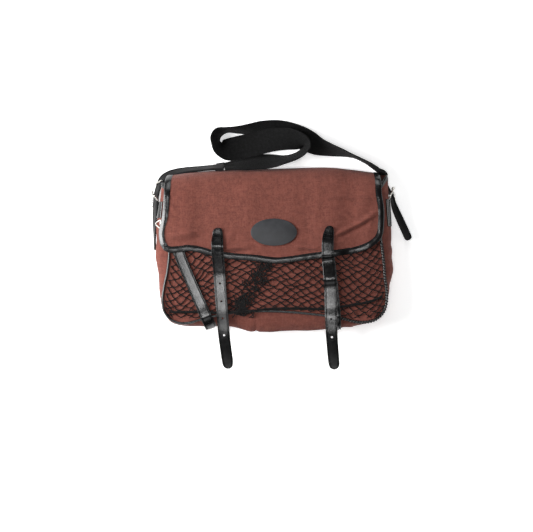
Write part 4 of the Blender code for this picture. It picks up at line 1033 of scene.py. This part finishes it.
def make_gather():
    """The net's spare width, bunched in clumps down the front and over the lower seam."""
    tangled = random.Random(GATHER_SEED)
    cords = Cords()
    for middle_x, middle_y, half_x, half_y, count in GATHER_CLUMPS:
        for _ in range(count):
            x, y = tangled.gauss(middle_x, half_x), tangled.gauss(middle_y, half_y)
            heading, bend = tangled.uniform(0, 6.3), tangled.uniform(-0.55, 0.55)
            path = loose_length(tangled, x, y, heading, bend, 0.8, 2)
            cords.add(path, NET_CORD * tangled.uniform(0.8, 1.1), 5)
    for _ in range(12):
        path = loose_length(tangled, tangled.uniform(-66, -50), -104, -2, 0.5, 0.25, 2.2)
        cords.add(path, NET_CORD * 0.9, 5)
    cords.make("net_gather", "net", "net")


def make_draw_cord():
    cords = Cords()
    for side, radius, seed in ((0, 1.25, 41), (-2.2, 0.95, 43)):
        path = []
        for x, y in even_rows(dense_curve(DRAW_CORD), 150):
            lift = 2.9 + 1.6 * hump(x, gather_x(y), 12, 2) + 0.5 * ripple(x, 0, 6, seed + 1)
            path.append(over_front(x, y + side + 0.8 * ripple(x, 0, 9, seed), lift))
        cords.add(path, radius, 8)
    cords.make("draw_cord", "net", "net")


def make_lacing(path):
    """Net cord wound round the welt, from the right strap round the corner and up the side."""
    part = [tuple(place) for place in path if place.x > 104 and place.y < 16]
    lengths = distances(part, 3)
    steps = int(lengths[-1] / 0.55)
    winding = []
    for index in range(steps):
        along = lengths[-1] * index / steps
        before, place, after = (Vector(row_at(part, lengths, along + step)) for step in (-1, 0, 1))
        run = (after - before).normalized()
        side = run.cross(UP).normalized()
        turn = 2 * math.pi * (along / 4.6 + 0.2 * ripple(along, 0, 11, 51))
        winding.append(place + turned(side, run, turn) * 2.45)
    cords = Cords()
    cords.add(winding, 1)
    cords.make("welt_lacing", "net", "net")


# ---- straps ----


def resting_tilt(surface, x, y, side):
    return side * math.degrees(math.atan2(surface(x + 10, y) - surface(x - 10, y), 20))


def closing_height(x, y, over):
    """The height of a closing strap's middle over what it lies on."""
    half = STRAP / 2
    net_top = panel_height(x, y) + 1.8
    free = panel_height(x, min(y, STRAP_EDGE_Y)) + 5.4 + half
    droop = 15 * max(0, (DROOP_START_Y - y) / (DROOP_START_Y - TIP_Y)) ** 1.6
    return {
        "flap": flap_height(x, y) + CANVAS / 2 + 2 * GAP + half,
        "net": net_top + 2 * GAP + half,
        "lower": net_top + STRAP + 4 * GAP + half,
        "piping": free,
        "crossing": free + 3.3,
        "free": free - droop + (3.3 if x > 0 else 0),
    }[over]


def closing_rows(table, steps=150):
    rows = []
    for x, y, over, slack, width in table:
        surface = flap_height if over == "flap" else panel_height
        tilt = 0 if over == "free" else resting_tilt(surface, x, y, -1)
        rows.append((x, y, closing_height(x, y, over) + slack, tilt, width))
    return even_rows(dense_curve(rows), steps)


def round_end(rows, at_start, reach=2.6):
    """Narrow a strap's rows to a rounded end."""
    lengths = distances(rows, 3)
    rounded = []
    for row, length in zip(rows, lengths):
        share = min(1, (length if at_start else lengths[-1] - length) / reach)
        rounded.append((*row[:4], row[4] * (0.5 + 0.5 * math.sqrt(1 - (1 - share) ** 2))))
    return rounded


def strap_frames(rows):
    """Each row of (x, y, z, tilt, width) as its middle, right hand, upper side and width."""
    frames = []
    for index, (x, y, z, tilt, width) in enumerate(rows):
        after = rows[min(index + 1, len(rows) - 1)]
        run = (Vector(after[:3]) - Vector(rows[max(index - 1, 0)][:3])).normalized()
        side = run.cross(UP).normalized()
        across = turned(side, run, math.radians(tilt))
        frames.append((Vector((x, y, z)), across, across.cross(run), width))
    return frames


def frame_near(frames, y):
    return min(frames, key=lambda frame: abs(frame[0].y - y))


def leather_strap(name, frames, thickness, node, finish="leather"):
    """A strap of leather, domed, its edges rounded and a line pressed inside each."""
    section = [(-1, *row) for row in EDGE_PROFILE] + [(0, 0, 1.14)]
    section += [(1, *row) for row in EDGE_PROFILE[::-1]]
    section += [(1, 0.3, -0.8), (1, 1, -1), (-1, 1, -1), (-1, 0.3, -0.8)]
    points, uvs = [], []
    lengths = distances([frame[0] for frame in frames], 3)
    for (middle, across, normal, width), along in zip(frames, lengths):
        for side, inset, height in section:
            reach = side * (width / 2 - inset * min(1, width / 16))
            points.append(middle + across * reach + normal * (height * thickness / 2))
            uvs.append((reach, along))
    count = len(section)
    last = (len(frames) - 1) * count
    faces = [(ring + k, ring + (k + 1) % count, ring + count + (k + 1) % count, ring + count + k)
             for ring in range(0, last, count) for k in range(count)]
    faces += [tuple(range(count))[::-1], tuple(range(last, last + count))]
    strap = mesh_piece(name, points, faces, uvs)
    turn_outward(strap)
    return dress(strap, finish, node)


def groove_stitches(cords, frames, thickness):
    """Stitches in a strap's two pressed lines."""
    for side in (-1, 1):
        path = [middle + across * side * (width / 2 - GROOVE * min(1, width / 16))
                + normal * (0.12 * thickness / 2) for middle, across, normal, width in frames]
        stitches(cords, path, [frame[2] for frame in frames], *STRAP_THREAD)


def punch_holes(strap, frames, holes_y):
    """Cut round holes through a strap, square to it."""
    pegs = []
    for hole_y in holes_y:
        middle, _, normal, _ = frame_near(frames, hole_y)
        turn = normal.to_track_quat("Z", "Y").to_euler()
        bpy.ops.mesh.primitive_cylinder_add(vertices=20, radius=HOLE_RADIUS * MM,
                                            depth=STRAP * 4 * MM, location=middle * MM,
                                            rotation=turn)
        pegs.append(bpy.context.active_object)
    join_pieces(*pegs)
    apply_modifier(strap, "BOOLEAN", operation="DIFFERENCE", solver="EXACT", object=pegs[0])
    bpy.data.objects.remove(pegs[0], do_unlink=True)
    pick(strap)
    bpy.ops.object.shade_smooth_by_angle(angle=math.radians(40))


def make_closing_straps(threads):
    for name, table, holes in (("left", FLAP_STRAP_LEFT, LEFT_HOLES_Y),
                               ("right", FLAP_STRAP_RIGHT, RIGHT_HOLES_Y)):
        frames = strap_frames(round_end(round_end(closing_rows(table), True), False))
        strap = leather_strap("closing_strap_" + name, frames, STRAP, "flap_strap_" + name)
        punch_holes(strap, frames, holes)
        sewn = [frame for frame in frames if 7 < frame[0].y < 39]
        groove_stitches(threads, sewn[:-1], STRAP)
        for cross_y in (26.7, 20.6):
            middle, across, normal, width = frame_near(frames, cross_y)
            path = [middle + across * (width / 2 - GROOVE) * share + normal * (STRAP * 0.53)
                    for share in (-1, -0.5, 0, 0.5, 1)]
            stitches(threads, path, [normal] * 5, *CROSS_THREAD)


def make_lower_straps(threads):
    for name, table in (("left", LOWER_STRAP_LEFT), ("right", LOWER_STRAP_RIGHT)):
        rows = [(x, y, panel_height(x, y) + lift, resting_tilt(panel_height, x, y, 1), width)
                for x, y, lift, width in table]
        rows = even_rows(dense_curve(rows), 90, 3)
        frames = strap_frames(rows)
        leather_strap("front_strap_" + name, frames, STRAP, "lower_strap_" + name)
        groove_stitches(threads, frames[3:-3], STRAP)
        middle = Vector(rows[-1][:3]) + Vector((0, 9.6, 0))
        buckle = wire_frame("front_buckle_" + name, [middle + Vector((a * 11.6, b * 8, 0))
                            for a, b in ((-1, -1), (1, -1), (1, 1), (-1, 1))], 1.3, 2.4)
        tongue = wire_path([middle + Vector((0, along, up))
                            for along, up in ((-8, 1.2), (0, 2), (8.6, 1.6))], 0.9)
        join_pieces(buckle, tongue)
        dress(buckle, "nickel", "lower_buckle_" + name, angle=60)


# ---- the oval patch ----


def make_patch(threads):
    """Thick oval leather, its rim pressed down and stitched."""
    pick()
    bpy.ops.mesh.primitive_cylinder_add(vertices=96, radius=PATCH_HALF_X * MM, depth=2 * MM,
                                        location=PATCH_CENTRE * MM)
    patch = bpy.context.active_object
    patch.name = "oval_leather"
    edit_all(patch)
    bpy.ops.transform.resize(value=(1, PATCH_HALF_Y / PATCH_HALF_X, 1))
    bpy.ops.object.mode_set(mode="OBJECT")
    bpy.ops.object.transform_apply(location=True, rotation=True, scale=True)
    for direction in (1, -1):
        for face in patch.data.polygons:
            face.select = face.normal.z * direction > 0.9
        for edge in patch.data.edges:
            edge.select = False
        bpy.ops.object.mode_set(mode="EDIT")
        bpy.ops.mesh.select_mode(type="FACE")
        steps = PATCH_RIM if direction > 0 else ()
        for inset, lift in (*steps, (5, 0.1 * direction), (5, 0.1 * direction), (5, 0)):
            bpy.ops.mesh.inset(thickness=inset * MM)
            bpy.ops.transform.translate(value=(0, 0, lift * MM))
        bpy.ops.mesh.select_all(action="DESELECT")
        bpy.ops.object.mode_set(mode="OBJECT")
    apply_modifier(patch, "BEVEL", width=0.45 * MM, segments=3, limit_method="ANGLE",
                   angle_limit=math.radians(60))
    for vertex in patch.data.vertices:
        vertex.co.z += (flap_height(vertex.co.x / MM, vertex.co.y / MM) + CANVAS / 2 + 1.4) * MM
    dress(patch, "patch", "oval_patch")
    path = []
    for k in range(121):
        turn = 2 * math.pi * k / 120
        x = PATCH_CENTRE.x + (PATCH_HALF_X - 2.8) * math.cos(turn)
        y = PATCH_CENTRE.y + (PATCH_HALF_Y - 2.8) * math.sin(turn)
        path.append(Vector((x, y, flap_height(x, y) + CANVAS / 2 + 1.55)))
    stitches(threads, path, [UP] * len(path), *PATCH_THREAD)


# ---- tabs, wires and buckles ----


def gusset_at(side, y, position):
    """A point of the gusset at a length along the bag and a place down its profile's rows."""
    last = len(SEAM_STATIONS) - 1
    shares = row_at(GUSSET, range(len(GUSSET)), position)
    before = None
    for index in range(80) if side < 0 else range(last, last - 80, -1):
        place = Vector(gusset_place(index, *shares))
        if place.y <= y:
            return before.lerp(place, (before.y - y) / (before.y - place.y))
        before = place


def make_tabs(threads):
    """Leather tabs sewn to the gusset, curved over it, holding the strap buckles."""
    for name, (side, top_y, low_y) in TABS.items():
        rows = []
        for i in range(19):
            y = top_y + (low_y - top_y) * i / 18
            row = []
            for k in range(13):
                position = 1.3 + 2.2 * k / 12
                slope = gusset_at(side, y, position - 0.4) - gusset_at(side, y, position + 0.4)
                normal = Vector((side * slope.z, 0, -side * slope.x)).normalized()
                row.append(gusset_at(side, y, position) + normal * 0.5)
            rows.append(row)
        tab = cloth_sheet("gusset_tab_" + name, rows, 2, 1, Vector((side, 0, 0.2)))
        apply_modifier(tab, "BEVEL", width=0.5 * MM, segments=2, limit_method="ANGLE",
                       angle_limit=math.radians(50))
        dress(tab, "leather", "side_tab_" + name)
        for k in (2, 10):
            path, normals = [], []
            for i in range(1, 18):
                normal = (rows[i][k + 1] - rows[i][k - 1]).cross(rows[i + 1][k] - rows[i - 1][k])
                normal = normal.normalized() * (-1 if normal.x * side < 0 else 1)
                path.append(rows[i][k] + normal * 2.1)
                normals.append(normal)
            stitches(threads, path, normals, *TAB_THREAD)


def wire_frame(name, corners, radius, rounding):
    """A closed wire frame: a plane's outline with rounded corners, given a round section."""
    pick()
    bpy.ops.mesh.primitive_plane_add(size=1)
    frame = bpy.context.active_object
    for vertex, corner in zip(frame.data.vertices, (corners[k] for k in (0, 1, 3, 2))):
        vertex.co = Vector(corner) * MM
    edit_all(frame)
    bpy.ops.mesh.bevel(offset=rounding * MM, segments=5, affect="VERTICES")
    bpy.ops.mesh.select_all(action="SELECT")
    bpy.ops.mesh.delete(type="ONLY_FACE")
    bpy.ops.object.mode_set(mode="OBJECT")
    bpy.ops.object.convert(target="CURVE")
    bpy.context.active_object.data.bevel_depth = radius * MM
    bpy.context.active_object.data.bevel_resolution = 4
    bpy.ops.object.convert(target="MESH")
    frame = bpy.context.active_object
    frame.name = name
    return frame


def wire_path(path, radius):
    """An open wire with closed ends."""
    line = bpy.data.curves.new("wire", "CURVE")
    line.dimensions = "3D"
    spline = line.splines.new("BEZIER")
    spline.bezier_points.add(len(path) - 1)
    for point, place in zip(spline.bezier_points, path):
        point.co = place * MM
        point.handle_left_type = point.handle_right_type = "AUTO"
    line.bevel_depth = radius * MM
    line.bevel_resolution = 3
    line.use_fill_caps = True
    wire = bpy.data.objects.new("wire", line)
    bpy.context.collection.objects.link(wire)
    pick(wire)
    bpy.ops.object.convert(target="MESH")
    return bpy.context.active_object


def make_buckles():
    for name, (in_x, in_y, out_x, out_y, z, tip_x, tip_y) in STRAP_BUCKLES.items():
        corners = [(in_x, in_y, z - BUCKLE_HALF), (in_x, in_y, z + BUCKLE_HALF),
                   (out_x, out_y, z + BUCKLE_HALF), (out_x, out_y, z - BUCKLE_HALF)]
        buckle = wire_frame("end_buckle_" + name, corners, 1.35, 2.6)
        bar = Vector((out_x, out_y, z))
        tip = Vector((tip_x, tip_y, z))
        run = (tip - bar).normalized()
        side = run.cross(UP).normalized()
        loop = [bar + run * 2.2 * math.cos(turn) - side * 2.2 * math.sin(turn)
                for turn in (0.7 + 0.75 * k for k in range(8))]
        prong = wire_path([loop[-1], *loop[-2:1:-1], bar + run * 4 + side * 0.8,
                           bar.lerp(tip, 0.5), tip], 0.95)
        join_pieces(buckle, prong)
        dress(buckle, "nickel", "strap_buckle_" + name, angle=60)
    for name, corners, node in (("end_keeper", KEEPER_CORNERS, "strap_keeper_left"),
                                ("gusset_ring", RING_CORNERS, "side_ring_left")):
        dress(wire_frame(name, corners, 1.15, 2.4), "nickel", node, angle=60)


# ---- the shoulder strap ----


def shoulder_rows(table, width, thickness, steps):
    rows = []
    for x, y, tilt, lift in table:
        turn = math.radians(tilt)
        rest = width / 2 * abs(math.sin(turn)) + thickness / 2 * abs(math.cos(turn)) + GAP
        rows.append((x, y, rest + lift, tilt, width))
    return even_rows(dense_curve(rows), steps)


def make_webbing():
    """The woven strap: one long sheet, narrowed where it enters the leather ends."""
    rows = shoulder_rows(WEBBING_PATH, WEBBING_WIDTH, WEBBING, 340)
    lengths = distances(rows, 3)
    grid = []
    for (middle, across, normal, width), distance in zip(strap_frames(rows), lengths):
        near = min(distance, lengths[-1] - distance)
        half = width / 2 * (0.62 + 0.38 * ease(near, 2, 40))
        row = []
        for k in range(15):
            share = k / 7 - 1
            wave = 0.5 * ripple(distance, share * 14, 24, 61)
            wave += 0.9 * (1 - ease(near, 0, 34)) * math.cos(share * 9)
            rise = 0.2 + wave - 0.35 * share * share
            row.append(middle + across * half * share + normal * rise)
        grid.append(row)
    webbing = cloth_sheet("woven_strap", grid, WEBBING, 0)
    dress(webbing, "webbing", "shoulder_webbing", angle=50)


def make_shoulder_strap(threads):
    """The two leather ends, the sleeves folded round the webbing's ends, and the webbing."""
    ends = []
    for name, table, steps in (("left", END_LEFT, 130), ("right", END_RIGHT, 90)):
        rows = shoulder_rows(table, STRAP_END_WIDTH, STRAP_END, steps)
        rows = round_end(rows, name == "left", 8)
        ends.append((name, strap_frames(round_end(rows, name == "left"))))
    for name, frames in ends:
        leather_strap("end_strap_" + name, frames, STRAP_END, "strap_end_" + name, "strap_end")
    for name, frames in ends:
        sewn = frames[3:-10] if name == "left" else frames[10:-4]
        groove_stitches(threads, sewn, STRAP_END)
    for name, frames in ends:
        part = frames[-9:] if name == "left" else frames[:9]
        wider = [(*frame[:3], frame[3] + 4) for frame in part]
        leather_strap("end_sleeve_" + name, wider, SLEEVE, "strap_end_" + name, "strap_end")
        groove_stitches(threads, wider[1:-1], SLEEVE)
    make_webbing()


# ---- studio ----


def make_studio():
    """A pale floor, a white world, the softboxes and a camera looking straight down."""
    pick()
    bpy.ops.mesh.primitive_plane_add(size=8)
    floor = bpy.context.active_object
    floor.name = "pale_floor"
    floor.data.materials.append(floor_finish())

    world = bpy.data.worlds.new("studio")
    bpy.context.scene.world = world
    world.use_nodes = True
    world.node_tree.nodes["Background"].inputs[0].default_value = (1, 1, 1, 1)
    world.node_tree.nodes["Background"].inputs[1].default_value = WORLD_LIGHT

    for place, size, power in SOFTBOXES:
        light = bpy.data.lights.new("softbox", "AREA")
        light.shape = "RECTANGLE"
        light.size, light.size_y = size
        light.energy = power
        lamp = bpy.data.objects.new("softbox", light)
        bpy.context.collection.objects.link(lamp)
        lamp.location = place
        lamp.rotation_euler = (-Vector(place)).to_track_quat("-Z", "Y").to_euler()

    lens = bpy.data.cameras.new("camera")
    lens.lens = 36 * CAMERA_DISTANCE / FRAME_WIDTH
    lens.clip_end = 30
    camera = bpy.data.objects.new("camera", lens)
    bpy.context.collection.objects.link(camera)
    camera.location = (-0.012, -0.027, 0.045 + CAMERA_DISTANCE)
    bpy.context.scene.camera = camera
    bpy.context.scene.view_settings.view_transform = "Standard"


gusset_rows = make_shell()
flap_points = make_flap()
thread = Cords()
make_flap_binding(flap_points, thread)
make_rim_bindings(gusset_rows, thread)
welt_path = make_piping()
make_net()
make_gather()
make_draw_cord()
make_lacing(welt_path)
make_closing_straps(thread)
make_lower_straps(thread)
make_patch(thread)
make_tabs(thread)
make_buckles()
make_shoulder_strap(thread)
thread.make("stitching", "thread")
make_studio()
